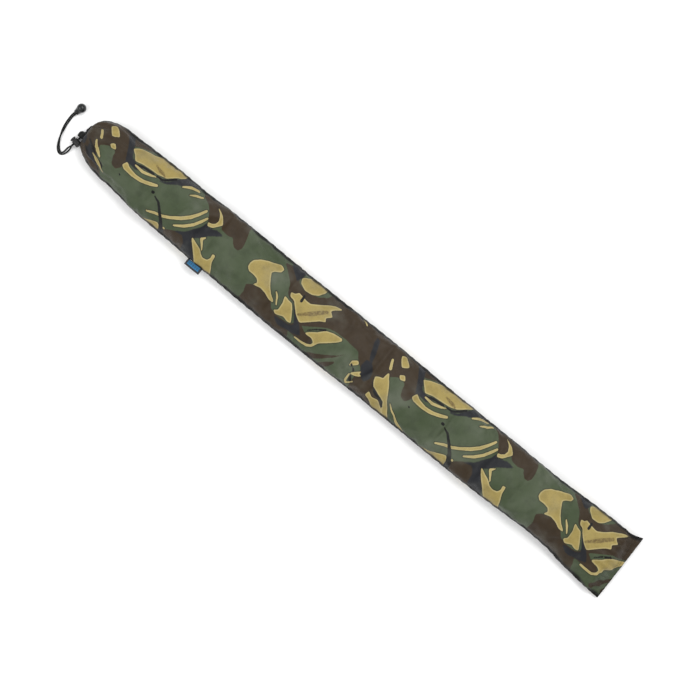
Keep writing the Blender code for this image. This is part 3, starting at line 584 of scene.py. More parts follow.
# The pleats at the mouth fold these away.
TAN_FOLDED = (
    ((-529, -36), (-518, -42.5), (-508, -47.5), (-494, -53.5), (-479, -57), (-494, -56.5), (-508, -50.5),
     (-518, -45.5)),
    ((-576, -16), (-570, -12), (-564, -10), (-563, -2), (-561, 3), (-556, -4), (-550, -11),
     (-541, -25), (-534, -37), (-526, -46), (-514, -60), (-524, -62), (-534, -52), (-539, -42),
     (-551, -37), (-562, -33), (-568, -31), (-573, -24)),
    ((-571, -50), (-569, -42), (-560, -46), (-548, -45), (-535, -52), (-524, -62), (-536, -64),
     (-552, -56), (-562, -52)),
)
# Strokes: points with a width each
TAN_STROKES = (
    ((-488, 10, 3), (-472, 9, 5), (-458, 13, 4), (-449, 17, 2)),
    ((-571, 24, 4), (-564, 10, 5)),
    ((-425, -38, 3), (-412, -32, 5), (-398, -27, 5), (-386, -20, 5), (-371, -9, 6), (-360, 2, 6),
     (-352, 14, 5), (-345, 27, 4)),
    ((-373, -26, 3), (-359, -16, 5), (-348, -4, 5), (-341, 8, 5), (-336, 18, 4)),
    ((-402, 33, 3), (-390, 43, 6), (-376, 49, 5)),
    ((-384, 30, 2), (-374, 38, 5), (-364, 45, 4)),
    ((-316, -9, 2), (-321, -15, 5), (-310, -30, 2)),
    ((-165, -3, 2), (-157, -10, 4), (-149, -20, 2)),
    ((23, -34, 3), (24, -46, 4), (27, -50, 3), (36, -40, 2)),
    ((-384, -43, 4), (-383, -43, 4)),
    ((-16, 55, 3), (-6, 51, 3)),
)
BROWN_STROKES = (
    ((-52, -54, 12), (-38, -44, 9), (-24, -32, 5), (-14, -22, 1)),
    ((-26, -54, 12), (-18, -44, 9), (-11, -34, 3)),
    ((-20, -30, 3), (-4, -12, 1)),
)
SHADE_STROKES = (
    ((-110, -9, 4), (-92, 7, 8), (-74, 25, 6)),
    ((-460, 34, 3), (-446, 30, 7), (-436, 27, 2)),
)
BLACK_STROKES = (
    ((-490, 12, 2), (-476, 16, 4), (-458, 18, 4), (-455, 18, 3)),
    ((-449, 19, 3), (-438, 20, 4), (-427, 27, 4), (-418, 36, 4)),
    ((-430, -9, 2), (-418, -13, 4), (-406, -24, 5), (-394, -37, 7), (-386, -50, 10), (-384, -70, 12)),
    ((-438, -6, 5), (-436, -6, 5)),
    ((-500, -20, 3), (-499, -21, 3)),
    ((-121, 22, 4), (-120, 12, 5)),
    ((-81, -20, 2), (-69, -9, 3)),
    ((-66, -7, 3), (-57, -1, 4)),
    ((15, -19, 4), (17, -20, 4)),
    ((25, -25, 4), (22, -22, 3)),
    ((27, -35, 4), (30, -41, 6)),
    ((-563, -37, 3), (-556, -40, 4), (-548, -39, 3), (-541, -44, 4), (-536, -49, 3)),
    ((-333, 3, 1), (-322, 8, 2), (-316, 12, 2)),
)


# Marks that come once, by the mouth and at the closed end
BLACK_ONCE = (
    # The first two strokes are painted shadow in the tucks of the mouth's pleats.
    ((-580, -8, 3), (-566, -16, 6), (-550, -25, 6), (-532, -35, 3)),
    ((-576, -28, 5), (-560, -38, 5)),
    ((584, 60, 3), (600, 66, 5)),
)
TAN_ONCE = (
    ((-568, 1, 3), (-562, -9, 6), (-553, -15, 5), (-544, -20, 2)),
    ((-560, -25, 2), (-549, -31, 5), (-538, -37, 5), (-525, -42, 2)),
)
BEYOND_SEAM = 40
CURVE_STEPS = 6
PRINT_MARGIN = 14
# How much larger the print looks on the sleeve's raised middle, and the share lost at its edges
SEEN_LARGER, LESS_AT_EDGE = 0.0115, 0.75
# The cloth that the flat closed end takes up, and where the underside's print starts, in mm
TAKEN_UP = 7
TURNED_FROM, TURNED_ASIDE = 180, 9


def cloth_place():
    """Takes a place across the sleeve as seen from above, in mm, to its place across the cloth."""
    far, near = far_edge(0), near_edge(0)
    side, up = section(np.linspace(math.pi, 0, 400), (far - near) / 2, 0, height_at(0))
    length = run_over(side, up)
    half = length[-1] / 2
    seen, flat = side / MM + (far + near) / 2 / MM, (length - half) / MM
    seen = np.concatenate([[seen[0] - BEYOND_SEAM], seen, [seen[-1] + BEYOND_SEAM]])
    flat = np.concatenate([[flat[0] - BEYOND_SEAM], flat, [flat[-1] + BEYOND_SEAM]])
    return lambda y: np.interp(y, seen, flat), half / MM


def closed_curve(points):
    """A rounded closed line through points, with corners kept fairly tight."""
    p = np.array(points, float)
    out = []
    for i in range(len(p)):
        a, b, c, d = (p[(i + k) % len(p)] for k in (-1, 0, 1, 2))
        reach = np.linalg.norm(c - b)
        start = (c - a) / max(np.linalg.norm(c - a), 1e-9) * reach * 0.4
        end = (d - b) / max(np.linalg.norm(d - b), 1e-9) * reach * 0.4
        for k in range(CURVE_STEPS):
            t = k / CURVE_STEPS
            t2, t3 = t * t, t * t * t
            leaving = (2 * t3 - 3 * t2 + 1) * b + (t3 - 2 * t2 + t) * start
            out.append(leaving + (3 * t2 - 2 * t3) * c + (t3 - t2) * end)
    return np.array(out)


def from_segment(spots, start, line):
    """Each spot's distance to a segment, and the share of the segment passed at its nearest point."""
    t = np.clip((spots - start) @ line / max(line @ line, 1e-9), 0, 1)
    return np.linalg.norm(spots - start - np.outer(t, line), axis=1), t


def in_outline(spots, outline):
    """Signed distance in mm to a closed line, positive inside."""
    distance = np.full(len(spots), 1e9)
    inside = np.zeros(len(spots), bool)
    for start, end in zip(outline, np.roll(outline, -1, axis=0)):
        distance = np.minimum(distance, from_segment(spots, start, end - start)[0])
        (ax, ay), (bx, by) = start, end
        crosses = (ay > spots[:, 1]) != (by > spots[:, 1])
        at = (bx - ax) * (spots[:, 1] - ay) / (by - ay if by != ay else 1e-9) + ax
        inside ^= crosses & (spots[:, 0] < at)
    return np.where(inside, distance, -distance)


def in_stroke(spots, stroke):
    """Signed distance in mm to a brush stroke whose width changes along it."""
    best = np.full(len(spots), -1e9)
    for start, end in zip(stroke, stroke[1:]):
        away, t = from_segment(spots, start[:2], end[:2] - start[:2])
        best = np.maximum(best, (start[2] + (end[2] - start[2]) * t) / 2 - away)
    return best


def layer(spots, to_cloth, outlines=(), strokes=(), folded=(), once=()):
    """The signed distance of one colour of the print, over all its repeats. The folded outlines are
    left out of the repeat at the mouth, and the strokes in once are drawn only there. Some of these
    strokes are painted shadow."""
    field = np.full(len(spots), -50.0)

    def paint(line, distance):
        low, high = line[:, :2].min(axis=0) - PRINT_MARGIN, line[:, :2].max(axis=0) + PRINT_MARGIN
        near = np.all((spots > low) & (spots < high), axis=1)
        if near.any():
            field[near] = np.maximum(field[near], distance(spots[near], line))

    for repeat in (-1, 0, 1):
        shift = np.array(REPEAT) * repeat
        for outline in outlines + (folded if repeat else ()):
            paint(closed_curve([(x, to_cloth(y)) for x, y in outline]) + shift, in_outline)
        for stroke in strokes + (() if repeat else once):
            paint(np.array([(x, to_cloth(y), w) for x, y, w in stroke]) + (*shift, 0), in_stroke)
    return field


def print_layers(x, f, turned):
    """The five layers at cloth places. f runs from -1 to 1 between the seams."""
    to_cloth, half = cloth_place()
    stretch = 1 + SEEN_LARGER * (1 - LESS_AT_EDGE * f**2)
    taken_up = TAKEN_UP * ease(400 * MM, 560 * MM, x)
    spots = np.column_stack([x / MM * stretch + taken_up, f * half])
    if turned:
        spots = np.column_stack([TURNED_FROM - spots[:, 0], TURNED_ASIDE - spots[:, 1]])
    tan_once, black_once = ((), ()) if turned else (TAN_ONCE, BLACK_ONCE)
    return {
        "print_brown": layer(spots, to_cloth, BROWN, BROWN_STROKES),
        "print_dark": layer(spots, to_cloth, DARK),
        "print_tan": layer(spots, to_cloth, TAN, TAN_STROKES, TAN_FOLDED, tan_once),
        "print_shade": layer(spots, to_cloth, strokes=SHADE_STROKES),
        "print_black_and_tuck_shadow": layer(spots, to_cloth, strokes=BLACK_STROKES, once=black_once),
    }


# Node helpers


class Nodes:
    """A material's node tree, with short calls for what the materials below use."""

    def __init__(self, name):
        self.material = bpy.data.materials.new(name)
        self.material.use_nodes = True
        self.tree = self.material.node_tree
        self.shader = self.tree.nodes["Principled BSDF"]

    def add(self, kind, **settings):
        node = self.tree.nodes.new(kind)
        for name, value in settings.items():
            setattr(node, name, value)
        return node

    def put(self, socket, value):
        if isinstance(value, bpy.types.NodeSocket):
            self.tree.links.new(value, socket)
        else:
            socket.default_value = value

    def math(self, operation, a, b=0.0, c=0.0):
        node = self.add("ShaderNodeMath", operation=operation)
        for socket, value in zip(node.inputs, (a, b, c)):
            self.put(socket, value)
        return node.outputs[0]

    def times(self, a, b):
        return self.math("MULTIPLY", a, b)

    def away(self, value, middle):
        """How far the value is from the middle, either way."""
        return self.math("ABSOLUTE", self.math("SUBTRACT", value, middle))

    def mix(self, share, a, b, blend="MIX"):
        node = self.add("ShaderNodeMix", data_type="RGBA", blend_type=blend)
        for index, value in ((0, share), (6, a), (7, b)):
            self.put(node.inputs[index], value)
        return node.outputs[2]

    def ramp(self, value, low, high, to_low=0.0, to_high=1.0):
        node = self.add("ShaderNodeMapRange", interpolation_type="SMOOTHSTEP")
        for socket, given in zip(node.inputs, (value, low, high, to_low, to_high)):
            self.put(socket, given)
        return node.outputs[0]

    def noise(self, where, scale, detail=2.0, roughness=0.5):
        node = self.add("ShaderNodeTexNoise")
        given = {"Vector": where, "Scale": scale, "Detail": detail, "Roughness": roughness}
        for name, value in given.items():
            self.put(node.inputs[name], value)
        return node.outputs["Fac"]

    def drift(self, where, scale, detail, low=0.0, high=1.0):
        """A value that wanders smoothly over the surface, from low to high."""
        return self.ramp(self.noise(where, scale, detail), 0.3, 0.7, low, high)

    def place(self):
        return self.add("ShaderNodeTexCoord").outputs["Object"]

    def parts(self, vector):
        split = self.add("ShaderNodeSeparateXYZ")
        self.put(split.inputs[0], vector)
        return split.outputs

    def uv(self):
        """The place on the flat cloth, and its two parts."""
        place = self.add("ShaderNodeUVMap", uv_map="Cloth").outputs[0]
        u, v, _ = self.parts(place)
        return place, u, v

    def attribute(self, name):
        return self.add("ShaderNodeAttribute", attribute_name=name).outputs["Fac"]

    def weave(self, u, v, pitch):
        """A plain weave: two sets of threads that pass over and under each other."""
        across, along = (self.math("SINE", self.times(t, 2 * math.pi / pitch)) for t in (u, v))
        return self.math("MULTIPLY_ADD", self.times(across, along), 0.5, 0.5)

    def bump(self, height, distance, strength=1.0, under=None):
        node = self.add("ShaderNodeBump")
        for name, value in (("Strength", strength), ("Distance", distance), ("Height", height)):
            self.put(node.inputs[name], value)
        if under is not None:
            self.put(node.inputs["Normal"], under)
        return node.outputs[0]

    def finish(self, colour, roughness, normal, **fixed):
        self.put(self.shader.inputs["Base Color"], colour)
        self.put(self.shader.inputs["Roughness"], roughness)
        self.put(self.shader.inputs["Normal"], normal)
        for name, value in fixed.items():
            self.shader.inputs[name.replace("_", " ")].default_value = value
        return self.material


# Materials. Each colour is linear red, green, blue and alpha, and each size is in metres.

GREENS = (0.042, 0.059, 0.027, 1), (0.068, 0.085, 0.050, 1)
# Each layer's colour, how far its edge strays and how soft the edge is, in mm
DYES = (
    ("print_brown", (0.034, 0.022, 0.011, 1), 1.6, 0.55),
    ("print_dark", (0.013, 0.014, 0.017, 1), 2.6, 1.3),
    ("print_tan", (0.303, 0.236, 0.075, 1), 0.9, 0.35),
    ("print_shade", (0.120, 0.082, 0.030, 1), 2.6, 1.2),
    # The black layer also draws the painted tuck shadow by the mouth.
    ("print_black_and_tuck_shadow", (0.003, 0.003, 0.003, 1), 1.2, 0.4),
)
TAN_HALO = (0.014, 0.012, 0.010, 1)
TAN_FLECK = (0.210, 0.150, 0.060, 1)
TAN_RIM = (0.46, 0.39, 0.19, 1)
# The pale colour of the painted sheen patches on the printed cloth.
SHEEN_PATCH_COLOUR = (0.150, 0.155, 0.130, 1)
SPRING_STEEL = (0.42, 0.42, 0.43, 1), (0.62, 0.62, 0.63, 1)
LABEL_BLACK = (0.010, 0.011, 0.014, 1)
LABEL_BLUES = (0.004, 0.130, 0.30, 1), (0.010, 0.190, 0.40, 1)
LABEL_MARK = (0.010, 0.030, 0.055, 1)
LABEL_GAPS = (0.004, 0.006, 0.010, 1)
THREADS = (0.020, 0.020, 0.018, 1), (0.055, 0.052, 0.045, 1)
CORD_BLACKS = (0.004, 0.005, 0.005, 1), (0.012, 0.013, 0.013, 1)
# The casing's near-black is partly painted shade for the deep folds of the gathered mouth.
CASING_BLACK_AND_FOLD_SHADE = (0.009, 0.009, 0.008, 1)
CORD_CLOTH_BLACK = (0.008, 0.009, 0.009, 1)
RUBBER_BLACK = (0.005, 0.006, 0.006, 1)
PLASTIC_BLACK = (0.006, 0.006, 0.006, 1)
FLOOR_WHITES = (0.95, 0.95, 0.95, 1), (0.97, 0.97, 0.97, 1)


def tan_dye(n, place, colour, distance, paint):
    """The tan patches' dark halo on the colour below, and their own flecks and pale rim."""
    below = n.mix(n.ramp(distance, -2.6, -0.4, 0.0, 0.6), colour, TAN_HALO)
    fleck = n.ramp(n.noise(place, 420.0), 0.45, 0.75, 0.0, 0.35)
    rim = n.ramp(distance, 0.6, 3.0, 0.55, 0.0)
    return below, n.mix(rim, n.mix(fleck, paint, TAN_FLECK), TAN_RIM)


def printed_cloth():
    """Woven cloth in four dyed colours, with painted sheen patches and painted shade along its seams."""
    n = Nodes("printed_cloth")
    place, u, v = n.uv()
    ragged = n.math("SUBTRACT", n.noise(place, 260.0, 3.0, 0.6), 0.5)
    colour = n.mix(n.drift(place, 14.0, 3.0), *GREENS)
    shares = {}
    for name, paint, stray, soft in DYES:
        distance = n.math("MULTIPLY_ADD", ragged, stray, n.attribute(name))
        share = n.ramp(distance, -soft, soft)
        if name == "print_tan":
            colour, paint = tan_dye(n, place, colour, distance, paint)
        if name == "print_shade":
            patchy = n.ramp(n.noise(place, 300.0, 3.0), 0.3, 0.65, 0.4, 1.0)
            share = n.times(n.times(share, shares["print_tan"]), patchy)
        shares[name] = share
        colour = n.mix(share, colour, paint)
    # Painted sheen: broad pale patches laid over every colour of the cloth.
    sheen_patches = n.ramp(n.noise(place, 13.0, 3.0, 0.6), 0.52, 0.74, 0.0, 0.30)
    colour = n.mix(sheen_patches, colour, SHEEN_PATCH_COLOUR)
    mottled = n.ramp(n.noise(place, 48.0, 4.0, 0.6), 0.25, 0.75, 0.80, 1.16)
    # Painted shade: the cloth darkens towards its seams, its closed end and its mouth.
    seam_shade = n.ramp(n.attribute("to_seam"), 3.6, 11.0, 0.05, 1.0)
    weave = n.weave(u, v, 0.65 * MM)
    shade = n.times(n.times(mottled, seam_shade), n.math("MULTIPLY_ADD", weave, 0.10, 0.95))
    colour = n.mix(1.0, colour, n.mix(shade, (0, 0, 0, 1), (1, 1, 1, 1)), "MULTIPLY")
    crumpled = n.bump(n.noise(place, 90.0, 3.0, 0.55), 1.6 * MM, 0.35)
    normal = n.bump(weave, 0.10 * MM, 0.8, crumpled)
    return n.finish(colour, n.drift(place, 30.0, 3.0, 0.36, 0.50), normal, Specular_IOR_Level=0.20)


def plain_cloth(name, colour, pitch, roughness):
    n = Nodes(name)
    place = n.place()
    x, y, z = n.parts(place)
    weave = n.weave(n.math("ADD", x, z), y, pitch)
    varied = n.drift(place, 240.0, 4.0, 0.75, 1.25)
    dark = (*(0.6 * c for c in colour[:3]), 1)
    shaded = n.mix(n.times(weave, varied), dark, colour)
    rough = n.drift(place, 90.0, 2.0, roughness - 0.08, roughness + 0.08)
    normal = n.bump(weave, 0.12 * MM, 0.8)
    return n.finish(shaded, rough, normal, Sheen_Weight=0.05, Specular_IOR_Level=0.2)


def braided_cord():
    n = Nodes("braided_cord")
    place, u, v = n.uv()
    fine = n.math("SINE", n.times(n.math("ADD", u, v), 2 * math.pi / (0.28 * MM)))
    worn = n.ramp(n.noise(n.place(), 900.0, 3.0), 0.4, 0.75)
    rough = n.drift(place, 500.0, 2.0, 0.62, 0.82)
    normal = n.bump(fine, 0.06 * MM, 0.6)
    colour = n.mix(worn, *CORD_BLACKS)
    return n.finish(colour, rough, normal, Sheen_Weight=0.05, Specular_IOR_Level=0.2)


def moulded(name, colour, low, high, coat=0.0):
    """Moulded plastic or rubber, with a fine grain, faint flow marks and rubbed spots."""
    n = Nodes(name)
    place = n.place()
    lighter = (*(1.7 * c + 0.003 for c in colour[:3]), 1)
    rubbed = n.ramp(n.noise(place, 420.0, 4.0, 0.65), 0.55, 0.8)
    shaded = n.mix(rubbed, n.mix(n.drift(place, 160.0, 3.0), colour, lighter), lighter)
    rough = n.drift(place, 160.0, 3.0, low, high)
    normal = n.bump(n.noise(place, 2600.0), 0.04 * MM, 0.5)
    gloss = {"Coat_Weight": coat, "Coat_Roughness": 0.2, "Specular_IOR_Level": 0.3}
    return n.finish(shaded, rough, normal, **gloss)


def spring_wire():
    n = Nodes("spring_wire")
    scratch = n.noise(n.place(), 1500.0, 4.0, 0.7)
    rough = n.ramp(scratch, 0.3, 0.7, 0.22, 0.4)
    return n.finish(n.mix(scratch, *SPRING_STEEL), rough, n.bump(scratch, 0.02 * MM, 0.4), Metallic=1.0)


def woven_label():
    """A black border round a blue band, with a woven row of small diamonds."""
    n = Nodes("woven_label")
    place, u, v = n.uv()
    in_band_u = n.ramp(n.away(u, LABEL_LONG / 2), 11.8 * MM, 12.4 * MM, 1.0, 0.0)
    in_band_v = n.times(n.ramp(v, 0.6 * MM, 1.0 * MM), n.ramp(v, 8.2 * MM, 8.8 * MM, 1.0, 0.0))
    cell = n.away(n.math("FRACT", n.math("DIVIDE", u, 4.2 * MM)), 0.5)
    rise = n.math("DIVIDE", n.away(v, 4.8 * MM), 6.2 * MM)
    diamond = n.math("ADD", cell, rise)
    mark = n.times(n.ramp(diamond, 0.36, 0.42, 1.0, 0.0), n.ramp(diamond, 0.16, 0.22))
    blue = n.mix(mark, n.mix(n.noise(place, 900.0), *LABEL_BLUES), LABEL_MARK)
    colour = n.mix(n.times(in_band_u, in_band_v), LABEL_BLACK, blue)
    weave = n.weave(u, v, 0.5 * MM)
    colour = n.mix(n.times(weave, 0.35), colour, LABEL_GAPS)
    rough = n.ramp(weave, 0.0, 1.0, 0.55, 0.75)
    return n.finish(colour, rough, n.bump(weave, 0.10 * MM, 0.9), Sheen_Weight=0.2)


def thread():
    n = Nodes("sewing_thread")
    twist = n.noise(n.place(), 3200.0)
    return n.finish(n.mix(twist, *THREADS), 0.6, n.bump(twist, 0.05 * MM, 0.7), Sheen_Weight=0.15)


def studio_floor():
    n = Nodes("studio_floor")
    place = n.place()
    normal = n.bump(n.noise(place, 600.0), 0.1 * MM, 0.2)
    return n.finish(n.mix(n.noise(place, 3.0), *FLOOR_WHITES), 0.7, normal, Specular_IOR_Level=0.2)


# Pieces


def keep_values(obj, name, values):
    store = obj.data.attributes.new(name, "FLOAT", "POINT")
    store.data.foreach_set("value", values.ravel().astype(np.float32))


def seam_distance(grid, x, f, turned):
    """In mm, how far each point is from the nearest seam or the mouth, near which shade is painted on the
    cloth. It counts as less near the mouth, and as more near the closed end and on the underside."""
    half_round = np.linalg.norm(np.diff(grid, axis=1), axis=2).sum(axis=1) / 2
    to_side = (1 - np.abs(f)) * half_round[:, None]
    to_end = (END - x) * 3 + 1 * MM
    to_mouth = run_along(grid[:, len(f) // 2])[:, None] * 0.5
    return np.minimum(np.minimum(to_side, to_end), to_mouth) / MM * (1.6 if turned else 1)


def build_panels(material):
    """The two printed panels, and the upper one's grid of points."""
    settings = ring_settings()
    upper, lower = (np.array([ring(*s, side) for s in settings]) for side in (1, -1))
    x = upper[:, :, 0].copy()
    f = np.linspace(-1, 1, COLUMNS + 1)
    up_move, low_move = simulate(upper, lower)
    upper, lower = upper + up_move, lower + low_move
    rng = np.random.default_rng(7)
    upper = add_folds(upper, 1, rng)
    lower = add_folds(lower, -1, rng)
    seam_line = (upper[:, (0, -1)] + lower[:, (0, -1)]) / 2
    upper[:, (0, -1)] = seam_line
    lower[:, (0, -1)] = seam_line
    across = np.tile(f, len(x))
    uvs = np.column_stack([x.ravel(), across * GIRTH / 4])
    pieces = []
    for name, grid, turned in (("sleeve_upper_panel", upper, False), ("sleeve_lower_panel", lower, True)):
        faces = grid_faces(*x.shape, not turned)
        obj = new_piece(name, grid.reshape(-1, 3), faces, material, uvs)
        for layer_name, field in print_layers(x.ravel(), across, turned).items():
            keep_values(obj, layer_name, field)
        keep_values(obj, "to_seam", seam_distance(grid, x, f, turned))
        pieces.append(obj)
    return pieces, upper


def spline_point(points, i, t):
    last = len(points) - 1
    a, b, c, d = (points[min(max(k, 0), last)] for k in (i - 1, i, i + 1, i + 2))
    return [
        q + 0.5 * t * (r - p + t * (2 * p - 5 * q + 4 * r - s + t * (3 * (q - r) + s - p)))
        for p, q, r, s in zip(a, b, c, d)
    ]


def tail_route(side, spacing):
    """One tail's centreline, evenly spaced, and its length. side is 1 for tail a and -1 for tail b."""
    route = []
    for i in range(STRAIGHT_STEPS + 1):
        along = TAIL_START + (STRAIGHT_TO - TAIL_START) * i / STRAIGHT_STEPS
        route.append([*(mouth_point(CORD_OUT, along, 0) / MM), 90, PAIR / MM])
    route += [list(p) for p in ROUTE_FROM_LOCK]
    for reach in (0.0, TAIL_INSIDE / 2, TAIL_INSIDE):
        route.append([*((END_ENTRY + END_AXIS * reach) / MM), -180, PAIR / MM])
    shares = [k / SPLINE_STEPS for k in range(SPLINE_STEPS)]
    fine = [spline_point(route, i, share) for i in range(len(route) - 1) for share in shares]
    fine.append(route[-1])
    line = []
    for i, (x, y, z, twist, apart) in enumerate(fine):
        before, after = fine[max(i - 1, 0)], fine[min(i + 1, len(fine) - 1)]
        heading = Vector(after[:3]) - Vector(before[:3])
        sideways = heading.cross(UP).normalized()
        turn = math.radians(twist)
        offset = sideways * math.cos(turn) + UP * math.sin(turn)
        line.append((Vector((x, y, z)) + offset * side * apart / 2) * MM)
    return evenly(line, spacing)


def evenly(line, spacing):
    spots = np.array([tuple(p) for p in line])
    length = run_along(spots)
    even = np.linspace(0, length[-1], max(2, round(length[-1] / spacing)) + 1)
    return np.column_stack([np.interp(even, length, spots[:, k]) for k in range(3)]), length[-1]


def braided_tube(name, path, diameter, material):
    """A cord as a mesh, with the crossing strands of its braid standing proud."""
    sides, strands = 24, 4
    heading = np.gradient(path, axis=0)
    heading /= np.linalg.norm(heading, axis=1, keepdims=True)
    angles = np.linspace(0, 2 * math.pi, sides, endpoint=False)
    points, uvs = [], []
    normal = np.cross(heading[0], tuple(UP))
    for spot, direction, along in zip(path, heading, run_along(path)):
        normal = normal - direction * (normal @ direction)
        normal /= np.linalg.norm(normal)
        other = np.cross(direction, normal)
        lay = 2 * math.pi * along / (diameter * 1.15)
        one, two = np.cos(strands * angles + lay), np.cos(strands * angles - lay)
        radius = diameter / 2 * (0.93 + 0.07 * np.maximum(one, two))
        circle = np.outer(np.cos(angles) * radius, normal) + np.outer(np.sin(angles) * radius, other)
        points.extend(spot + circle)
        uvs.extend([(along, angle / 2 * diameter) for angle in angles])
    return new_piece(name, points, tube_faces(len(path), sides), material, uvs)


def lathe(name, profile, steps, place, material, wave=None):
    """A shape turned round an axis. The profile runs from the axis to the axis, as (along, radius)."""
    points = [place(profile[0][0], 0, 0)]
    for along, radius in profile[1:-1]:
        for i in range(steps):
            angle = 2 * math.pi * i / steps
            r = radius * (wave(angle) if wave else 1)
            points.append(place(along, r * math.cos(angle), r * math.sin(angle)))
    points.append(place(profile[-1][0], 0, 0))
    last_ring = 1 + (len(profile) - 3) * steps
    faces = []
    for i in range(steps):
        j = (i + 1) % steps
        faces.append((0, 1 + i, 1 + j))
        for a in range(1, last_ring, steps):
            b = a + steps
            faces.append((a + i, b + i, b + j, a + j))
        faces.append((last_ring + i, len(points) - 1, last_ring + j))
    obj = new_piece(name, points, faces, material)
    face_outwards(obj.data)
    obj.data.set_sharp_from_angle(angle=math.radians(38))
    return obj


def end_place(along, side, rise):
    sideways = END_AXIS.cross(UP).normalized()
    return END_ENTRY + END_AXIS * along + sideways * side + sideways.cross(END_AXIS) * rise


def parting_line(angle):
    return 1 + 0.012 * math.exp(-((math.sin(angle) / 0.035) ** 2))


def build_cord_end(material):
    """The pear-shaped end: a moulded shell with a parting line, and its collar."""
    radius, centre, mouth = 8.2 * MM, 11.7 * MM, 4.9 * MM
    join = math.radians(130)
    profile = [(2 * MM, 0), (0.3 * MM, mouth - 1.0 * MM), (0.0, mouth - 0.5 * MM), (0.2 * MM, mouth)]
    profile.append((1.2 * MM, mouth + 0.15 * MM))
    for i in range(24):
        angle = join * (1 - i / 24)
        profile.append((centre + radius * math.cos(angle), radius * math.sin(angle)))
    profile.append((centre + radius, 0))
    shell = lathe("cord_end_pear", profile, 72, end_place, material, parting_line)
    collar = [(-2.3 * MM, 0), (-2.2 * MM, mouth - 1.2 * MM), (-1.9 * MM, mouth - 0.6 * MM)]
    collar += [(-1.0 * MM, mouth), (-0.6 * MM, mouth), (-0.4 * MM, mouth - 0.4 * MM), (-0.4 * MM, 0)]
    return shell, lathe("cord_end_collar", collar, 48, end_place, material)


def hem_profile():
    """Along the channel from the sleeve to the mouth, in metres, with the share of its full width."""
    profile = [(-6.0 * MM + 8.0 * MM * i / 12, 1.0) for i in range(13)]
    for i in range(1, 11):
        angle = math.pi / 2 * i / 10
        profile.append((2.0 * MM + 2.0 * MM * math.sin(angle), 0.45 + 0.55 * math.cos(angle)))
    return profile + [(2.6 * MM, 0.28), (-0.5 * MM, 0.20)]


def build_hem(material):
    """The drawn-up channel: an uneven row of deep folds, pulled forward where the cord leaves it."""
    around, cord_gap, changes = 320, math.radians(14), 24
    profile = hem_profile()
    rng = np.random.default_rng(3)
    jitter = rng.uniform(-0.6, 0.6, changes + 1)
    heights = rng.uniform(0.6, 1.15, changes + 1)
    points, uvs = [], []
    for i in range(around + 1):
        angle = cord_gap + (2 * math.pi - 2 * cord_gap) * i / around
        place = angle * changes / (2 * math.pi)
        wobble, tall = (float(np.interp(place, range(changes + 1), v)) for v in (jitter, heights))
        fold = abs(math.sin(9.5 * angle + wobble)) ** 0.75
        closing = min(1, i / 5, (around - i) / 5)
        to_cord = max(0.0, math.cos(angle)) ** 3
        for along, share in profile:
            front = min(max((along + 6 * MM) / (8 * MM), 0), 1)
            deep = (0.5 + 1.5 * front) * MM * (1 - fold) * tall * closing
            reach = along + (9.0 * MM * to_cord + 2.0 * MM * fold * tall) * front
            wide = max(HEM_HALF * share - deep, 0.2 * MM)
            rise = max(HEM_RISE * share - deep * 0.7, 0.2 * MM)
            spot = Vector((-reach, -wide * math.cos(angle), rise * math.sin(angle)))
            points.append(HEM_CENTRE + spot)
            uvs.append((along, angle * HEM_HALF * 0.7))
    faces = grid_faces(around + 1, len(profile))
    obj = new_piece("gathered_hem", points, faces, material, uvs)
    thick = obj.modifiers.new("cloth", "SOLIDIFY")
    thick.thickness = 0.6 * MM
    thick.offset = 0
    return obj


def build_label(material):
    """A folded woven tab: two layers that meet in a soft fold at the outer edge."""
    low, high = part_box("side_label")
    length, reach = high[0] - low[0], high[1] - low[1]
    middle = (low[2] + high[2]) / 2
    columns, rows, half = 30, 36, 0.42 * MM
    points, uvs = [], []
    for i in range(rows + 1):
        turn = math.pi * i / rows
        share_out = 1 - abs(2 * i / rows - 1)
        out = reach * share_out
        fold = 1 - 0.55 * float(ease(0.86, 1.0, share_out))
        lift = half * math.cos(turn) / max(abs(math.cos(turn)), 0.25) * fold
        for j in range(columns + 1):
            s = j / columns
            wave = 0.35 * MM * math.sin(2 * math.pi * s + 0.6) * out / reach
            droop = -0.5 * MM * (out / reach) ** 2
            y = high[1] - out + 0.1 * MM * math.sin(9 * s)
            points.append((low[0] + length * s, y, middle + lift + wave + droop))
            uvs.append((LABEL_LONG * s, out))
    return new_piece("woven_label", points, grid_faces(rows + 1, columns + 1), material, uvs)


def unit(way):
    return way / max(np.linalg.norm(way), 1e-9)


def stitch_row(name, line, normals, material):
    """A row of sewn stitches: short rounded threads that dip into the cloth at both ends."""
    length, gap, thick = 2.4 * MM, 1.0 * MM, 0.55 * MM
    rings, sides = 7, 6
    run = run_along(line)

    def at_run(values, at):
        return np.array([np.interp(at, run, values[:, c]) for c in range(3)])

    points, faces = [], []
    start = gap
    while start + length < run[-1]:
        faces += tube_faces(rings, sides, len(points))
        for k in range(rings):
            at = start + length * k / (rings - 1)
            spot, up = at_run(line, at), at_run(normals, at)
            side = unit(np.cross(unit(at_run(line, at + 1e-4) - spot), up))
            bulge = math.sin(math.pi * k / (rings - 1))
            radius = thick / 2 * (0.55 + 0.45 * bulge)
            centre = spot + up * (thick * 0.75 * bulge - thick * 0.35)
            for s in range(sides):
                angle = 2 * math.pi * s / sides
                points.append(centre + radius * (side * math.cos(angle) + up * math.sin(angle)))
        start += length + gap
    return new_piece(name, points, faces, material)


def build_stitching(upper, material):
    """Two rows across the closed end, on the upper panel."""
    normals = normals_of(upper)
    rows = []
    for name, from_end in (("end_stitches_outer", 3), ("end_stitches_inner", 6)):
        row = len(upper) - 1 - from_end
        up = normals[row, 1:-1]
        rows.append(stitch_row(name, upper[row, 1:-1], up * np.sign(up[:, 2:3]), material))
    return rows


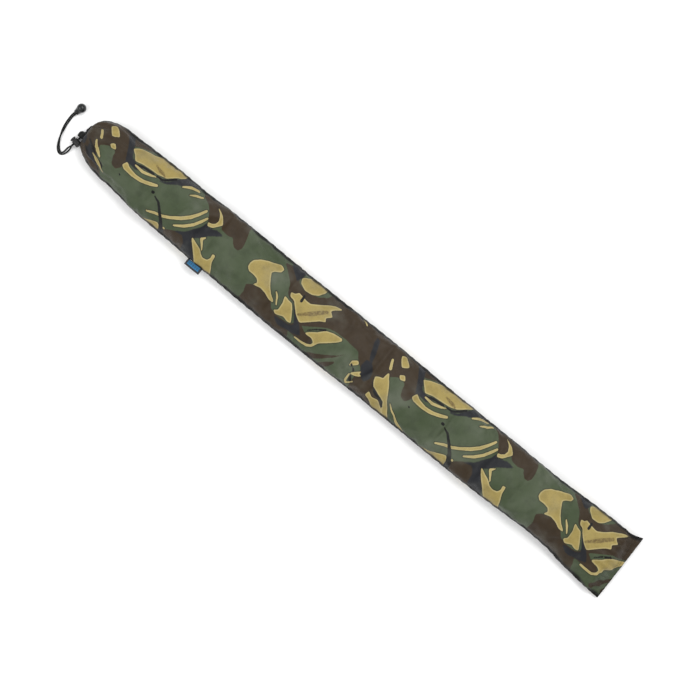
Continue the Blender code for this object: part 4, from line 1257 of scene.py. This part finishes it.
def build_spring(material):
    """The lock's spring, copied from the CAD node's mesh."""
    joint = next(j for j in frame["joints"] if j["name"] == "plunger_press")
    press = np.array(joint["axis"])
    mesh = frame["nodes"]["cord_lock_spring"].data
    points = np.array([v.co for v in mesh.vertices])
    faces = [tuple(face.vertices) for face in mesh.polygons]
    spring = new_piece("lock_spring_wire", points, faces, material)
    along = points @ press
    tuple(points[along.argmax()])
    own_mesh(spring)
    return spring


# Camera and light

LENS, SENSOR = 85, 36
VIEW_TURN = math.radians(39.3)
VIEW_WIDE = 1207.5 * MM
VIEW_ASIDE = 2.6 * MM
VIEW_LEVEL = 14 * MM
# Each light's place, size and power
KEY = (0.25, 1.30, 2.2), (2.4, 1.2), 42
FILL = (-1.5, -1.6, 2.2), (2.4, 1.6), 36
WORLD_STRENGTH = 0.70
FLOOR_HALF = 4


def build_camera():
    """Straight down, turned so that the sleeve runs from the upper left to the lower right."""
    data = bpy.data.cameras.new("camera")
    data.lens = LENS
    data.sensor_width = SENSOR
    data.clip_end = 50
    camera = bpy.data.objects.new("camera", data)
    right = Vector((math.cos(VIEW_TURN), math.sin(VIEW_TURN), 0))
    camera.location = -right * VIEW_ASIDE + UP * (VIEW_WIDE * LENS / SENSOR + VIEW_LEVEL)
    camera.rotation_euler = (0, 0, VIEW_TURN)
    bpy.context.scene.collection.objects.link(camera)
    bpy.context.scene.camera = camera


def build_light(name, place, size, power):
    data = bpy.data.lights.new(name, "AREA")
    data.shape = "RECTANGLE"
    data.size, data.size_y = size
    data.energy = power
    light = bpy.data.objects.new(name, data)
    light.location = place
    light.rotation_euler = (-Vector(place)).to_track_quat("-Z", "Y").to_euler()
    bpy.context.scene.collection.objects.link(light)


def build_studio():
    corners = [(x * FLOOR_HALF, y * FLOOR_HALF, 0) for x, y in ((-1, -1), (1, -1), (1, 1), (-1, 1))]
    floor = new_piece("studio_floor_plane", corners, [(0, 1, 2, 3)], studio_floor())
    floor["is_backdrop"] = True
    build_light("key", *KEY)
    build_light("fill", *FILL)
    world = bpy.data.worlds.new("studio")
    world.use_nodes = True
    background = world.node_tree.nodes["Background"]
    background.inputs["Color"].default_value = (1, 1, 1, 1)
    background.inputs["Strength"].default_value = WORLD_STRENGTH
    bpy.context.scene.world = world
    bpy.context.scene.view_settings.view_transform = "Standard"


# Assembly


def stand_in(piece, body, slot, *nodes):
    """The piece rides on the body and stands for the CAD nodes, which are hidden. The slot is not used.
    """
    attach(piece, body)
    if nodes:
        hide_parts(*nodes)


def repaint(names, material):
    for name in names:
        for slot in frame["nodes"][name].material_slots:
            slot.material = material


def assemble_cord():
    """The two tails, what they carry, and the lock that they pass through."""
    cord_material = braided_cord()
    shell, collar = build_cord_end(moulded("cord_end_rubber", RUBBER_BLACK, 0.16, 0.30, 0.2))
    tubes = []
    for side, node in ((1, "drawcord_tail_a"), (-1, "drawcord_tail_b")):
        path, _ = tail_route(side, 0.45 * MM)
        tube = braided_tube(node.replace("drawcord_", "braided_"), path, CORD, cord_material)
        stand_in(tube, "sleeve", "cord", node)
        tubes.append(tube)
    stand_in(shell, "sleeve", "cord_end_rubber", "cord_end_shell")
    stand_in(collar, "sleeve", "cord_end_rubber", "cord_end_plug")
    spring = build_spring(spring_wire())
    stand_in(spring, "lock", "spring_steel", "cord_lock_spring")
    on_first = [shell, collar, "cord_lock_barrel", "cord_lock_plunger", spring]
    ends = ((1, "fitting", on_first), (-1, "knot", ["tail_knot"]))
    for tube, (side, far_end, carried) in zip(tubes, ends):
        path, length = tail_route(side, 4 * MM)
        tuple(path[0])
        [tuple(p) for p in path]
        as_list(carried)


def assemble_sleeve():
    """The panels, which hide the filling and the inside tapes, the hem, the label and the stitches."""
    (upper, lower), upper_grid = build_panels(printed_cloth())
    hidden = ("packed_filling", "far_side_seam_tape", "label_side_seam_tape", "end_seam_tape")
    for panel, nodes in ((upper, ("upper_panel", *hidden)), (lower, ("lower_panel",))):
        stand_in(panel, "sleeve", "printed_cloth", *nodes)
    hem = build_hem(plain_cloth("casing_cloth", CASING_BLACK_AND_FOLD_SHADE, 0.7 * MM, 0.62))
    stand_in(hem, "sleeve", "casing_cloth", "mouth_casing")
    label = build_label(woven_label())
    stand_in(label, "label", "label_weave", "side_label")
    for row in build_stitching(upper_grid, thread()):
        stand_in(row, "sleeve", "seam_tape")


def main():
    build_camera()
    assemble_cord()
    assemble_sleeve()
    repaint(("drawcord_loop", "tail_knot"), plain_cloth("cord_cloth", CORD_CLOTH_BLACK, 0.6 * MM, 0.7))
    plastic = moulded("lock_plastic", PLASTIC_BLACK, 0.30, 0.48)
    repaint(("cord_lock_barrel", "cord_lock_plunger"), plastic)
    build_studio()


main()
boxes = [[list(map(float, corner)) for corner in box] for box in (cad_box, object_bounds())]
